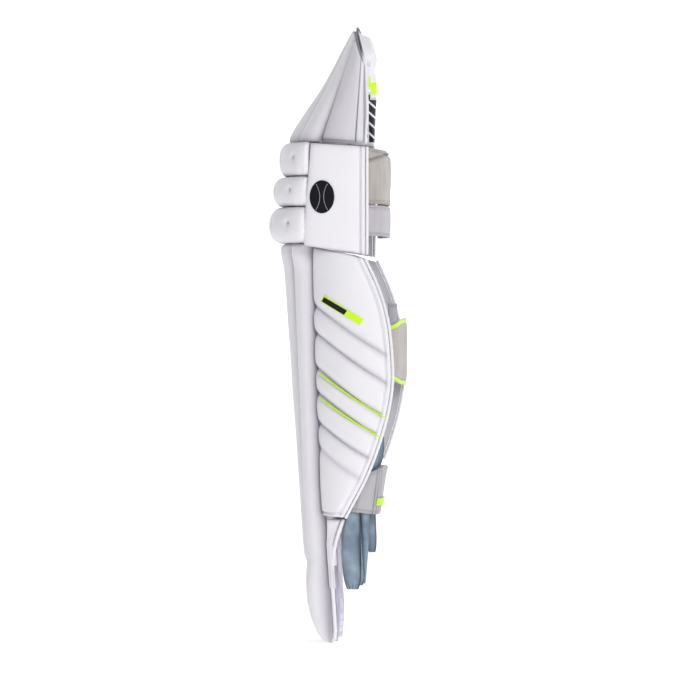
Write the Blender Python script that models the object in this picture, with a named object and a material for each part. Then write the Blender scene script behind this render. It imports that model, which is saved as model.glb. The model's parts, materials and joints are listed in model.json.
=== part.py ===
"""Cricket batting pad for the left leg, built from the pieces it is sewn from.

The frame: +Z runs up the leg, +Y points to the back of the leg and +X to its outer side. The origin is the
middle of the flat back of the knee cushion, where the kneecap rests. Sizes below are in millimetres.

The shin is a board wrapped round the leg on an arc, with three long bolsters on its front, a soft wing down each
side and stuffed lining bolsters inside. The knee has three rolls, and the top hat folds above it. Three straps
close the pad behind the leg. Pieces that move hang on an empty that lies on their fold or seam.
"""

import math

import bmesh
import bpy
import numpy as np
from mathutils import Vector

MM = 0.001

# Clearances and thin goods
GAP = 0.5
EDGE = 2.0
BOARD = 5.0
PIPING_RADIUS = 1.9
NEON_RADIUS = 1.1
PATCH = 1.2
PATCH_LIFT = 1.4

# Heights of the folds and ends
TOP_Z = 196.0
HAT_BASE_Z = 60.0
HAT_EDGE_Z = 150.0
HAT_FOLD_Z = 58.0
KNEE_TOP_Z = 56.0
KNEE_FOOT_Z = -66.0
KNEE_FOLD_Z = -72.0
SHIN_TOP_Z = -76.0
ARCH_Z = -464.0
LOBE_Z = -552.0

# The fold lines run across the pad, this far behind the knee cushion's back
KNEE_FOLD_Y = 35.0
HAT_FOLD_Y = 40.0

# Shin arc: the board leans back towards the ankle and its bolsters get thinner
SHIN_LEAN = 0.0706
CENTRE_HALF_ANGLE = 19.0
CANE_RADIUS = 4.5
CANE_CLEARANCE = 0.4

# Knee arcs, half width and depth of the ellipses in front of and behind the rolls
ROLL_FRONT_X, ROLL_BACK_X = 90.0, 72.0
ROLL_BACK_Y, ROLL_BACK_CENTRE = 24.0, -10.6
ROLL_FRONT_CENTRE = -12.6
ROLL_END_ANGLE = 84.0
ROLLS = {
    # name: (foot, top, front)
    "top": (15.2, 56.0, -57.1),
    "middle": (-21.6, 14.4, -64.6),
    "bottom": (-66.0, -22.4, -69.6),
}

# Straps: each line seen from above, from the inner wing round behind the leg to the outer wing
KNEE_STRAP_LINE = [(-83, 57), (-74, 68), (-44, 75), (0, 74), (44, 72), (68, 62), (73, 48), (71, 34)]
CALF_STRAP_LINE = [(-79, 94), (-66, 95), (-40, 94), (0, 92), (42, 91), (66, 87), (72, 76), (69, 62)]
ANKLE_STRAP_LINE = [(-70, 53), (-65, 62), (-46, 67), (0, 68), (42, 67.5), (58, 61), (61, 50), (59, 38)]
ANKLE_STRAP_Z = -366.0

COLOURS = {
    # finish: (red, green, blue, roughness)
    "white_leather": (0.86, 0.85, 0.88, 0.45),
    "cream_leather": (0.76, 0.72, 0.68, 0.5),
    "side_leather": (0.78, 0.77, 0.81, 0.5),
    "liner_fabric": (0.22, 0.3, 0.4, 0.85),
    "mesh_fabric": (0.8, 0.79, 0.88, 0.9),
    "webbing": (0.8, 0.79, 0.84, 0.8),
    "elastic": (0.42, 0.42, 0.45, 0.9),
    "neon": (0.66, 1.0, 0.02, 0.5),
    "black": (0.02, 0.02, 0.02, 0.6),
    "hook_tape": (0.7, 0.7, 0.72, 0.9),
    "foam": (0.9, 0.88, 0.8, 0.95),
    "cane": (0.72, 0.55, 0.3, 0.6),
    "board": (0.6, 0.58, 0.55, 0.8),
}

pivots = {}


# ---------------------------------------------------------------- shared helpers


def clear_scene():
    for item in list(bpy.data.objects):
        bpy.data.objects.remove(item)


def finish(name):
    """The Principled material of one finish, made once."""
    found = bpy.data.materials.get(name)
    if found:
        return found
    material = bpy.data.materials.new(name)
    material.use_nodes = True
    shader = material.node_tree.nodes["Principled BSDF"]
    red, green, blue, rough = COLOURS[name]
    shader.inputs["Base Color"].default_value = (red, green, blue, 1.0)
    shader.inputs["Roughness"].default_value = rough
    shader.inputs["Metallic"].default_value = 0.0
    return material


def pivot(name, place):
    """An empty on a fold or seam. Pieces that turn about it are its children."""
    empty = bpy.data.objects.new(name, None)
    empty.location = Vector(place) * MM
    bpy.context.collection.objects.link(empty)
    pivots[name] = empty


def hang_on(item, pivot_name):
    if pivot_name:
        item.parent = pivots[pivot_name]
        item.location = -pivots[pivot_name].location


def add_body(name, points, faces, material, on=None):
    """A closed body from points in millimetres, with its faces turned outwards."""
    mesh = bmesh.new()
    corners = [mesh.verts.new(Vector(p) * MM) for p in points]
    for face in faces:
        mesh.faces.new([corners[i] for i in face])
    bmesh.ops.recalc_face_normals(mesh, faces=mesh.faces)
    data = bpy.data.meshes.new(name)
    mesh.to_mesh(data)
    mesh.free()
    data.shade_smooth()
    data.set_sharp_from_angle(angle=math.radians(40))
    item = bpy.data.objects.new(name, data)
    item.data.materials.append(finish(material))
    bpy.context.collection.objects.link(item)
    hang_on(item, on)
    return item


def loft(name, rings, material, on=None):
    """A body through closed rings of equal count, each end closed by a fan to its middle."""
    count = len(rings[0])
    points = [p for ring in rings for p in ring]
    faces = []
    for i in range(len(rings) - 1):
        for j in range(count):
            k = (j + 1) % count
            a, b = i * count, (i + 1) * count
            faces.append((a + j, a + k, b + k, b + j))
    for ring, first in ((rings[0], 0), (rings[-1], (len(rings) - 1) * count)):
        middle = sum((Vector(p) for p in ring), Vector()) / count
        points.append(middle)
        pole = len(points) - 1
        faces += [(first + j, first + (j + 1) % count, pole) for j in range(count)]
    return add_body(name, points, faces, material, on)


def sleeve(name, outer, inner, material, on=None):
    """A body with a tunnel along it: outer rings, inner rings, and a flat washer at each end."""
    count = len(outer[0])
    length = len(outer)
    points = [p for ring in outer + inner for p in ring]
    shift = length * count
    faces = []
    for i in range(length - 1):
        for j in range(count):
            k = (j + 1) % count
            a, b = i * count, (i + 1) * count
            faces.append((a + j, a + k, b + k, b + j))
            faces.append((shift + a + k, shift + a + j, shift + b + j, shift + b + k))
    for a in (0, (length - 1) * count):
        for j in range(count):
            k = (j + 1) % count
            faces.append((a + j, a + k, shift + a + k, shift + a + j))
    return add_body(name, points, faces, material, on)


def slab(name, front, back, material, on=None):
    """A body between two grids of points, front[i][j] and back[i][j], with its four sides closed."""
    rows, columns = len(front), len(front[0])
    points = [p for grid in (front, back) for row in grid for p in row]
    shift = rows * columns
    at = lambda i, j: i * columns + j
    faces = []
    for i in range(rows - 1):
        for j in range(columns - 1):
            square = (at(i, j), at(i, j + 1), at(i + 1, j + 1), at(i + 1, j))
            faces.append(square)
            faces.append(tuple(shift + k for k in reversed(square)))
    border = [at(0, j) for j in range(columns - 1)]
    border += [at(i, columns - 1) for i in range(rows - 1)]
    border += [at(rows - 1, j) for j in range(columns - 1, 0, -1)]
    border += [at(i, 0) for i in range(rows - 1, 0, -1)]
    for a, b in zip(border, border[1:] + border[:1]):
        faces.append((b, a, shift + a, shift + b))
    return add_body(name, points, faces, material, on)


def piping(name, line, radius, material, on=None):
    """A round piping along a line of points, with flat ends."""
    curve = bpy.data.curves.new(name, "CURVE")
    curve.dimensions = "3D"
    curve.bevel_depth = radius * MM
    curve.bevel_resolution = 1
    curve.resolution_u = 1
    curve.render_resolution_u = 0
    curve.use_fill_caps = True
    spline = curve.splines.new("POLY")
    spline.points.add(len(line) - 1)
    for corner, place in zip(spline.points, line):
        corner.co = (*(Vector(place) * MM), 1.0)
    item = bpy.data.objects.new(name, curve)
    curve.materials.append(finish(material))
    bpy.context.collection.objects.link(item)
    hang_on(item, on)
    return item


def smooth(*knots):
    """A function through (place, value) knots by cubic pieces, held at its end values past the ends."""
    places, values = (np.array(column, float) for column in zip(*knots))
    slopes = np.gradient(values, places)

    def value(place):
        place = min(max(place, places[0]), places[-1])
        i = min(int(np.searchsorted(places, place, side="right")) - 1, len(places) - 2)
        step = places[i + 1] - places[i]
        t = (place - places[i]) / step
        rise = (3 - 2 * t) * t * t
        start = t * (1 - t) ** 2 * step * slopes[i]
        end = t * t * (t - 1) * step * slopes[i + 1]
        return float(values[i] * (1 - rise) + values[i + 1] * rise + start + end)

    return value


def spread(start, end, count):
    return [float(x) for x in np.linspace(start, end, count)]


def rounded(t, power=2.0):
    """A half-round: 1 at t = 0, falling to 0 at t = -1 and 1."""
    return max(1.0 - abs(t) ** power, 0.0) ** (1.0 / power)


def mirrored(points):
    return [Vector((-p[0], p[1], p[2])) for p in points]


def mirrored_grid(grid):
    return [mirrored(row) for row in grid]


def bezier(p0, p1, p2, p3, t):
    s = 1 - t
    place = [s**3 * a + 3 * s * s * t * b + 3 * s * t * t * c + t**3 * d for a, b, c, d in zip(p0, p1, p2, p3)]
    return Vector(place)


def side_of(tangent):
    """The outward side of a line that runs from the front of the pad round its outer side to the back."""
    return Vector((tangent[1], -tangent[0], 0.0)).normalized()


# ---------------------------------------------------------------- shin


def shin_front(z):
    return -52.7 - SHIN_LEAN * (z + 74.0)


def bolster_depth(z):
    return 22.0 + 0.0155 * (z + 74.0)


def shin_radius(z):
    return 65.0 - 0.02 * (z + 74.0)


seam_angle = smooth((-552, 45), (-404, 47), (-196, 51), (-74, 57))
arch_angle = smooth((-552, 27), (-500, 22.5), (-455, 20))
lobe_swell = smooth((-500, 8), (-475, 6), (-450, 0))


def shin_point(angle, out, z):
    """A point this far in front of the board, at an angle from straight ahead towards the outer side."""
    reach = shin_radius(z) + out
    centre = shin_front(z) + bolster_depth(z) + shin_radius(z)
    turn = math.radians(angle)
    return Vector((reach * math.sin(turn), centre - reach * math.cos(turn), z))


def bolster_ring(z, first, last, depth):
    """One level of a bolster: a crowned front over a flat back that lies on the board."""
    middle, half = (first + last) / 2, (last - first) / 2 - 0.35
    ring = []
    for w in (-1, -0.93, -0.75, -0.4, 0, 0.4, 0.75, 0.93, 1):
        ring.append(shin_point(middle + half * w, GAP + EDGE + (depth - EDGE) * rounded(w, 2.6), z))
    for w in (1, 0.33, -0.33, -1):
        ring.append(shin_point(middle + half * w, GAP, z))
    return ring


def round_levels(start, end, count, radius):
    """Levels from start down to end, closer together over the rounded foot."""
    levels = spread(start, end + radius, count)
    return levels + [end + radius * (1 - math.sin(math.radians(a))) for a in (25, 50, 70, 84)]


def foot_round(z, end, radius):
    return rounded(min(1.0, max(0.0, (end + radius - z) / radius)))


def shin_bolster_centre():
    end, radius = ARCH_Z, 22.0
    rings = []
    for z in round_levels(SHIN_TOP_Z, end, 8, radius):
        round_off = foot_round(z, end, radius)
        depth = EDGE + (bolster_depth(z) - EDGE) * round_off
        half = CENTRE_HALF_ANGLE * (0.55 + 0.45 * round_off)
        rings.append(bolster_ring(z, -half, half, depth))
    return rings


def shin_bolster_side():
    """The outer bolster, which runs on past the arch as a lobe beside the instep."""
    end, radius = LOBE_Z, 56.0
    rings = []
    for z in round_levels(SHIN_TOP_Z, end, 9, radius):
        round_off = foot_round(z, end, radius)
        depth = EDGE + (bolster_depth(z) + lobe_swell(z) - EDGE) * round_off
        first = max(CENTRE_HALF_ANGLE + 0.6, arch_angle(z))
        last = seam_angle(z)
        squeeze = (last - first) * 0.22 * (1 - round_off)
        rings.append(bolster_ring(z, first + squeeze, last - squeeze, depth))
    return rings


def cane_line(angle):
    """Top and foot of the cane in the bolster at this angle, in the middle of its depth."""
    return [shin_point(angle(z), GAP + bolster_depth(z) * 0.5, z) for z in (-86.0, -400.0)]


def rod(name, top, foot, radius, material, sides=10):
    line = foot - top
    data = bpy.data.meshes.new(name)
    mesh = bmesh.new()
    length = line.length * MM
    bmesh.ops.create_cone(
        mesh, cap_ends=True, segments=sides, radius1=radius * MM, radius2=radius * MM, depth=length
    )
    mesh.to_mesh(data)
    mesh.free()
    data.shade_smooth()
    data.set_sharp_from_angle(angle=math.radians(50))
    item = bpy.data.objects.new(name, data)
    item.location = (top + foot) / 2 * MM
    item.rotation_euler = line.to_track_quat("Z", "Y").to_euler()
    item.data.materials.append(finish(material))
    bpy.context.collection.objects.link(item)
    return item


def bore(item, top, foot):
    """Drills the cane's bore down from the bolster's open top."""
    along = (foot - top).normalized()
    cutter = rod(
        item.name + "_bore", top - along * 30, foot + along * 1.0, CANE_RADIUS + CANE_CLEARANCE, "cane"
    )
    cutter.hide_render = True
    cutter.display_type = "WIRE"
    cut = item.modifiers.new("cane_bore", "BOOLEAN")
    cut.operation = "DIFFERENCE"
    cut.object = cutter


def shin_bolsters():
    middle = lambda z: (CENTRE_HALF_ANGLE + 0.6 + seam_angle(z)) / 2
    pieces = (
        ("centre", shin_bolster_centre(), cane_line(lambda z: 0.0)),
        ("outer", shin_bolster_side(), cane_line(middle)),
        ("inner", [mirrored(r) for r in shin_bolster_side()], mirrored(cane_line(middle))),
    )
    for name, rings, (top, foot) in pieces:
        bolster = loft("shin_bolster_" + name, rings, "white_leather")
        bore(bolster, top, foot)
        rod("shin_cane_" + name, top, foot, CANE_RADIUS, "cane")


def shin_board():
    """The moulded board behind the bolsters, from the knee fold to the arch."""
    front, back = [], []
    for z in spread(SHIN_TOP_Z, ARCH_Z + 6, 8):
        angles = spread(-seam_angle(z), seam_angle(z), 11)
        front.append([shin_point(a, 0.0, z) for a in angles])
        back.append([shin_point(a, -BOARD, z) for a in angles])
    slab("shin_board", front, back, "board")


# ---------------------------------------------------------------- calf wings

wing_rear_y = smooth(
    (-399, 28), (-345, 58.5), (-305, 73.5), (-275, 82), (-240, 88), (-200, 87.5), (-150, 80.5), (-118, 70), (-85, 55)
)
wing_rear_x = smooth((-399, 63), (-345, 70), (-300, 75), (-240, 78), (-200, 79), (-85, 82))
WING_TOP = (-75.5, -88.0)
WING_FOOT = (-397.0, -399.0)
WING_DEPTH = 14.0


def wing_inside(t, z):
    """The wing's inner face at one level, from its seam at t = 0 to its rear edge at t = 1, and its tangent."""
    seam = shin_point(seam_angle(z) + 1.6, 1.0, z)
    rear = Vector((wing_rear_x(z), wing_rear_y(z), z))
    reach = (rear - seam).length
    near = seam + Vector((0.74, 0.67, 0)) * reach * 0.36
    far = rear - Vector((-0.12, 0.99, 0)) * reach * 0.4
    place = bezier(seam, near, far, rear, t)
    ahead = bezier(seam, near, far, rear, min(t + 0.01, 1.0))
    behind = bezier(seam, near, far, rear, max(t - 0.01, 0.0))
    return place, ahead - behind


def wing_depth(t, level, full):
    """Padding depth: full in the middle, thin at the bound edges."""
    return EDGE + 2.0 + (full - EDGE - 2.0) * rounded(2 * t - 1, 5) * rounded(2 * level - 1, 8)


def wing_outside(t, z, out=0.0):
    """The wing's outer face, or a point further out from it."""
    place, tangent = wing_inside(t, z)
    level = (z - WING_FOOT[0]) / (WING_TOP[0] - WING_FOOT[0])
    return place + side_of(tangent) * (wing_depth(t, level, WING_DEPTH) + out)


def wing_outside_at(y, z, out=0.0):
    """The outer face of the calf wing at a depth y behind the knee cushion's back."""
    low, high = 0.0, 1.0
    for _ in range(24):
        middle = (low + high) / 2
        if wing_outside(middle, z).y < y:
            low = middle
        else:
            high = middle
    return wing_outside((low + high) / 2, z, out)


def wing_grids():
    front, back = [], []
    for k in (0, 0.03, 0.12, 0.24, 0.36, 0.48, 0.6, 0.7, 0.8, 0.9, 0.97, 1):
        outer, inner = [], []
        for t in (0, 0.06, 0.16, 0.3, 0.45, 0.6, 0.75, 0.88, 0.96, 1):
            top = WING_TOP[0] + (WING_TOP[1] - WING_TOP[0]) * t
            foot = WING_FOOT[0] + (WING_FOOT[1] - WING_FOOT[0]) * t
            z = top + (foot - top) * k
            place, tangent = wing_inside(t, z)
            outer.append(place + side_of(tangent) * wing_depth(t, k, WING_DEPTH))
            inner.append(place)
        front.append(outer)
        back.append(inner)
    return front, back


def wing_binding():
    """The piping round the wing's rear edge, from its top corner to its foot."""
    line = []
    for z in spread(WING_TOP[1] - 1, WING_FOOT[1] + 1, 18):
        place, tangent = wing_inside(1.0, z)
        slope = (wing_rear_y(z + 2) - wing_rear_y(z - 2)) / 4
        away = Vector((0, 1, -slope)).normalized()
        line.append(place + side_of(tangent) * 2.0 + away * (PIPING_RADIUS + GAP + 0.2))
    return line


def neon_line(start, end, sag):
    """A piping laid in a quilting groove: from the seam down to the rear edge, hanging a little between."""
    line = []
    for t in spread(0.0, 1.0, 12):
        y = start[0] + (end[0] - start[0]) * t
        z = start[1] + (end[1] - start[1]) * t - sag * 4 * t * (1 - t)
        line.append(wing_outside_at(y, z, NEON_RADIUS + GAP))
    return line


def label_grids():
    """A sewn label on the wing, slanting down towards the back, with its two faces as grids."""
    centre_y, centre_z, slant = 25.0, -148.0, math.radians(-31)
    faces = []
    for out in (PATCH_LIFT + PATCH, PATCH_LIFT):
        grid = []
        for across in spread(-4, 4, 3):
            row = []
            for along in spread(-28, 28, 7):
                y = centre_y + along * math.cos(slant) - across * math.sin(slant)
                z = centre_z + along * math.sin(slant) + across * math.cos(slant)
                row.append(wing_outside_at(y, z, out))
            grid.append(row)
        faces.append(grid)
    return faces


def wing_patch(name, y_from, y_to, z_from, z_to, on):
    """A loop patch sewn flat inside the wing, where a strap's hook tape closes."""
    faces = []
    for out in (-GAP, -GAP - PATCH):
        grid = []
        for z in spread(z_from, z_to, 3):
            row = []
            for y in spread(y_from, y_to, 4):
                low, high = 0.0, 1.0
                for _ in range(24):
                    middle = (low + high) / 2
                    if wing_inside(middle, z)[0].y < y:
                        low = middle
                    else:
                        high = middle
                place, tangent = wing_inside(low, z)
                row.append(place + side_of(tangent) * out)
            grid.append(row)
        faces.append(grid)
    slab(name, *faces, "hook_tape", on)


def calf_wings():
    front, back = wing_grids()
    slab("calf_wing_outer", front, back, "white_leather", "calf_wing_seam")
    slab("calf_wing_inner", mirrored_grid(front), mirrored_grid(back), "white_leather")
    piping("calf_wing_binding", wing_binding(), PIPING_RADIUS, "white_leather", "calf_wing_seam")
    upper = neon_line((0.5, -224.0), (78.0, -277.0), 4.0)
    lower = neon_line((1.5, -254.5), (69.0, -299.0), 3.0)
    piping("calf_wing_piping_upper", upper, NEON_RADIUS, "neon", "calf_wing_seam")
    piping("calf_wing_piping_lower", lower, NEON_RADIUS, "neon", "calf_wing_seam")
    slab("calf_wing_label", *label_grids(), "black", "calf_wing_seam")
    wing_patch("calf_loop_patch", 56, 80, -218, -180, "calf_wing_seam")


# ---------------------------------------------------------------- instep

facing_rear_y = smooth((-488, 6.0), (-458, 9.5), (-426, 14.0), (-403, 25.5))


def facing_point(t, z, out):
    """The leather below the wing: from the bolster's seam at t = 0 to the instep piping at t = 1."""
    seam = shin_point(seam_angle(z) + 1.4, 1.0, z)
    rear = Vector((seam.x + 5.0, max(facing_rear_y(z), seam.y + 5.0), z))
    return seam.lerp(rear, t) + side_of(rear - seam) * out


def instep_facings():
    front, back = [], []
    for z in spread(-401.5, -486.0, 7):
        front.append([facing_point(t, z, 5.0) for t in (0, 0.35, 0.7, 1)])
        back.append([facing_point(t, z, 0.0) for t in (0, 0.35, 0.7, 1)])
    slab("instep_facing_outer", front, back, "side_leather")
    slab("instep_facing_inner", mirrored_grid(front), mirrored_grid(back), "side_leather")


def instep_pad_rings():
    """The soft mesh-covered pad behind each lobe, rounded at its foot."""
    end, radius = LOBE_Z + 2.0, 46.0
    depth_at = smooth((-552, 9), (-480, 12), (-430, 13), (-412, 12))
    rings = []
    for z in [-412.0, -418.0, *round_levels(-430, end, 5, radius)]:
        round_off = foot_round(z, end, radius) if z > -552 else 0.1
        round_off = min(1.0, round_off * (1.0 if z < -417 else 0.75))
        first, last = arch_angle(z) + 2.0, seam_angle(z) + 0.5
        middle, half = (first + last) / 2, (last - first) / 2 * (0.45 + 0.55 * round_off)
        depth = 2.0 + (depth_at(z) - 2.0) * round_off
        behind = BOARD + 1.0
        ring = [shin_point(middle + half * w, -behind, z) for w in (-1, -0.33, 0.33, 1)]
        for w in (0.96, 0.7, 0.25, -0.25, -0.7, -0.96):
            ring.append(shin_point(middle + half * w, -behind - 2.0 - (depth - 2.0) * rounded(w, 3), z))
        rings.append(ring)
    return rings


def instep_binding():
    line = []
    for z in spread(-402.5, -484.0, 8):
        line.append(facing_point(1.0, z, 2.0) + Vector((0.8, PIPING_RADIUS + GAP + 0.8, 0)))
    for z in spread(-497, -540, 4):
        seam = shin_point(seam_angle(z) + 1.4, 1.0, z)
        line.append(Vector((seam.x + 4.5, seam.y + 1.5, z)))
    return line


def instep():
    instep_facings()
    rings = instep_pad_rings()
    loft("instep_pad_outer", rings, "mesh_fabric")
    loft("instep_pad_inner", [mirrored(r) for r in rings], "mesh_fabric")
    piping("instep_binding_outer", instep_binding(), PIPING_RADIUS, "white_leather")
    piping("instep_binding_inner", mirrored(instep_binding()), PIPING_RADIUS, "white_leather")


# ---------------------------------------------------------------- lining bolsters

LINERS = {
    # name: (x and y of its middle at the calf, half width, half depth, turn from facing the leg)
    "front": (14.5, 0.0, 13.6, 8.0, 5),
    "corner": (38.0, 13.5, 12.0, 8.0, 42),
    "side": (53.0, 33.0, 10.4, 7.5, 80),
    "back": (51.0, 51.0, 7.2, 6.5, 96),
}
# How much each leans back below the calf, then its foot and foot rounding on the outer and inner side
LINER_FEET = {
    "front": (0.06, (-404.0, 24.0), (-404.0, 24.0)),
    "corner": (0.05, (-405.0, 24.0), (-405.0, 24.0)),
    "side": (0.02, (-487.0, 30.0), (-487.0, 30.0)),
    "back": (0.02, (-485.0, 44.0), (-446.0, 30.0)),
}
LINER_TOP_Z = -96.0


def liner_rings(x, y, half_width, half_depth, turn, lean, foot, radius):
    """A stuffed lining bolster: oval in plan, leaning back as it goes down, rounded at both ends."""
    across = Vector((math.cos(math.radians(turn)), math.sin(math.radians(turn)), 0))
    inwards = Vector((-across.y, across.x, 0))
    levels = [LINER_TOP_Z, LINER_TOP_Z - 5, *round_levels(LINER_TOP_Z - 16, foot, 5, radius)]
    rings = []
    for z in levels:
        round_off = foot_round(z, foot, radius) * min(1.0, 0.55 + (LINER_TOP_Z - z) / 16 * 0.45)
        taper = 1.0 + 0.0002 * (z + 250.0)
        middle = Vector((x * (1 + 0.00045 * (z + 250.0)), y - lean * (z + 250.0), z))
        ring = []
        for a in range(0, 360, 36):
            w = math.cos(math.radians(a)) * half_width * taper * (0.5 + 0.5 * round_off)
            d = math.sin(math.radians(a)) * half_depth * round_off
            ring.append(middle + across * w + inwards * d)
        rings.append(ring)
    return rings


def lining():
    for name, sizes in LINERS.items():
        lean, outer_foot, inner_foot = LINER_FEET[name]
        outer = liner_rings(*sizes, lean, *outer_foot)
        inner = liner_rings(*sizes, lean, *inner_foot)
        loft(f"liner_bolster_{name}_outer", outer, "liner_fabric")
        loft(f"liner_bolster_{name}_inner", [mirrored(r) for r in inner], "liner_fabric")


# ---------------------------------------------------------------- knee


def board_point(angle, z, out):
    """A point in front of the knee board, or inside it where out is negative."""
    turn = math.radians(angle)
    reach_x, reach_y = ROLL_BACK_X + out, ROLL_BACK_Y + out
    return Vector((reach_x * math.sin(turn), ROLL_BACK_CENTRE - reach_y * math.cos(turn), z))


def roll_point(angle, radial, front, z):
    """A point of a knee roll: radial 0 on its back beside the board, 1 on its front."""
    turn = math.radians(angle)
    depth = ROLL_FRONT_CENTRE - front
    outer = Vector((ROLL_FRONT_X * math.sin(turn), ROLL_FRONT_CENTRE - depth * math.cos(turn), z))
    return board_point(angle, z, GAP).lerp(outer, radial)


def roll_section(sides):
    """A D outline as (radial, height) pairs: height -1 to 1, flat at radial 0."""
    outline = [(0.0, -0.86), (0.0, 0.0), (0.0, 0.86)]
    for a in spread(70, -70, sides - 3):
        turn = math.radians(a)
        outline.append((0.42 + 0.58 * math.cos(turn) ** 0.8, math.sin(turn) / math.sin(math.radians(70))))
    return outline


def knee_roll(name, foot, top, front):
    middle, half = (foot + top) / 2, (top - foot) / 2 - GAP
    outer, tunnel, core = [], [], []
    half_turn = [0, 16, 32, 48, 64, 76, ROLL_END_ANGLE - 2.5, ROLL_END_ANGLE]
    for angle in [-a for a in half_turn[:0:-1]] + half_turn:
        swell = 0.62 + 0.38 * rounded(max(0.0, abs(angle) - 70) / 14.2, 2.2)
        ring, hole, stick = [], [], []
        for radial, height in roll_section(12):
            ring.append(roll_point(angle, radial * swell, front, middle + half * height * (0.5 + 0.5 * swell)))
        for a in range(12):
            turn = math.radians(-150 - a * 30)
            for kept, size in ((hole, 0.3), (stick, 0.25)):
                radial = 0.44 * swell + size * 0.62 * math.cos(turn)
                kept.append(roll_point(angle, radial, front, middle + half * size * 1.4 * math.sin(turn)))
        outer.append(ring)
        tunnel.append(hole)
        core.append(stick)
    sleeve("knee_roll_" + name, outer, tunnel, "white_leather", "knee_fold")
    loft("knee_roll_core_" + name, core[1:-1], "foam", "knee_fold")


def knee_board():
    front, back = [], []
    for z in (KNEE_TOP_Z - 1, 20.0, -22.0, KNEE_FOOT_Z + 1):
        angles = spread(-82, 82, 13)
        front.append([board_point(a, z, 0.0) for a in angles])
        back.append([board_point(a, z, -BOARD) for a in angles])
    slab("knee_board", front, back, "board", "knee_fold")


def angle_at(x, reach):
    return math.degrees(math.asin(x / reach))


def knee_fold_strip():
    """The soft strip that closes the fold between the knee board and the shin board below it."""
    front, back = [], []
    high, low = KNEE_FOOT_Z + 1 - GAP, SHIN_TOP_Z + GAP
    places = spread(-50, 50, 9)
    for grid, out in ((front, -1.2), (back, -BOARD + 1.2)):
        grid.append([board_point(angle_at(x, ROLL_BACK_X + out), high, out) for x in places])
        grid.append([shin_point(angle_at(x, shin_radius(low) + out), out, low) for x in places])
    slab("knee_fold_strip", front, back, "side_leather", "knee_fold")


def knee_cushion():
    """The block that the kneecap rests on: its front follows the board, its back is flat."""
    front, back = [], []
    for z in (44.0, 38.0, 0.0, -48.0, -56.0):
        squeeze = 0.9 if z in (44.0, -56.0) else 1.0
        edge = 46.0 * squeeze
        angles = [angle_at(x, ROLL_BACK_X - BOARD) for x in spread(-edge, edge, 7)]
        front.append([board_point(a, z, -BOARD - GAP) for a in angles])
        back.append([Vector((x, 0.0, z)) for x in spread(-edge, edge, 7)])
    slab("knee_cushion", front, back, "liner_fabric", "knee_fold")


KNEE_WING_DEPTH = 15.0
KNEE_WING_SEAM = (73.6, -7.0)
KNEE_WING_TOP = (54.5, 48.5)
KNEE_WING_FOOT = (-70.0, -80.5)


def knee_wing_inside(t):
    start, end = (*KNEE_WING_SEAM, 0.0), (79.5, 52.0, 0.0)
    near, far = (79.5, 6.0, 0.0), (81.5, 34.0, 0.0)
    place = bezier(start, near, far, end, t)
    ahead = bezier(start, near, far, end, min(t + 0.01, 1.0))
    behind = bezier(start, near, far, end, max(t - 0.01, 0.0))
    return place, ahead - behind


def knee_wing_outside(t, level, out=0.0):
    place, tangent = knee_wing_inside(t)
    return place + side_of(tangent) * (wing_depth(t, level, KNEE_WING_DEPTH) + out)


def knee_wing_level(t, k):
    top = KNEE_WING_TOP[0] + (KNEE_WING_TOP[1] - KNEE_WING_TOP[0]) * t
    foot = KNEE_WING_FOOT[0] + (KNEE_WING_FOOT[1] - KNEE_WING_FOOT[0]) * t
    return top + (foot - top) * k


def knee_wing_grids():
    front, back = [], []
    for k in (0, 0.04, 0.14, 0.38, 0.62, 0.86, 0.96, 1):
        outer, inner = [], []
        for t in (0, 0.07, 0.18, 0.35, 0.55, 0.75, 0.9, 1):
            place, _ = knee_wing_inside(t)
            z = knee_wing_level(t, k)
            side = knee_wing_outside(t, k)
            outer.append(Vector((side.x, side.y, z)))
            inner.append(Vector((place.x, place.y, z)))
        front.append(outer)
        back.append(inner)
    return front, back


def knee_wing_surface(y, z, out):
    """A point over the outer face of the knee wing, at y behind the cushion's back and height z."""
    low, high = 0.0, 1.0
    for _ in range(24):
        middle = (low + high) / 2
        if knee_wing_outside(middle, 0.5).y < y:
            low = middle
        else:
            high = middle
    side = knee_wing_outside(low, 0.5, out)
    return Vector((side.x, side.y, z))


def emblem():
    """A plain oval patch sewn to the knee wing."""
    centre_y, centre_z, half_y, half_z = 6.0, -11.0, 15.0, 20.0
    rings = []
    for out in (PATCH_LIFT, PATCH_LIFT + PATCH):
        ring = []
        for a in range(0, 360, 20):
            turn = math.radians(a)
            y = centre_y + half_y * math.cos(turn)
            ring.append(knee_wing_surface(y, centre_z + half_z * math.sin(turn), out))
        rings.append(ring)
    inner = [[p.lerp(sum(r, Vector()) / len(r), 0.5) for p in r] for r in rings]
    for ring, out in zip(inner, (PATCH_LIFT, PATCH_LIFT + PATCH)):
        for i, p in enumerate(ring):
            ring[i] = knee_wing_surface(p.y, p.z, out)
    loft("knee_emblem", [inner[0], rings[0], rings[1], inner[1]], "black", "knee_wing_seam")


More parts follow.
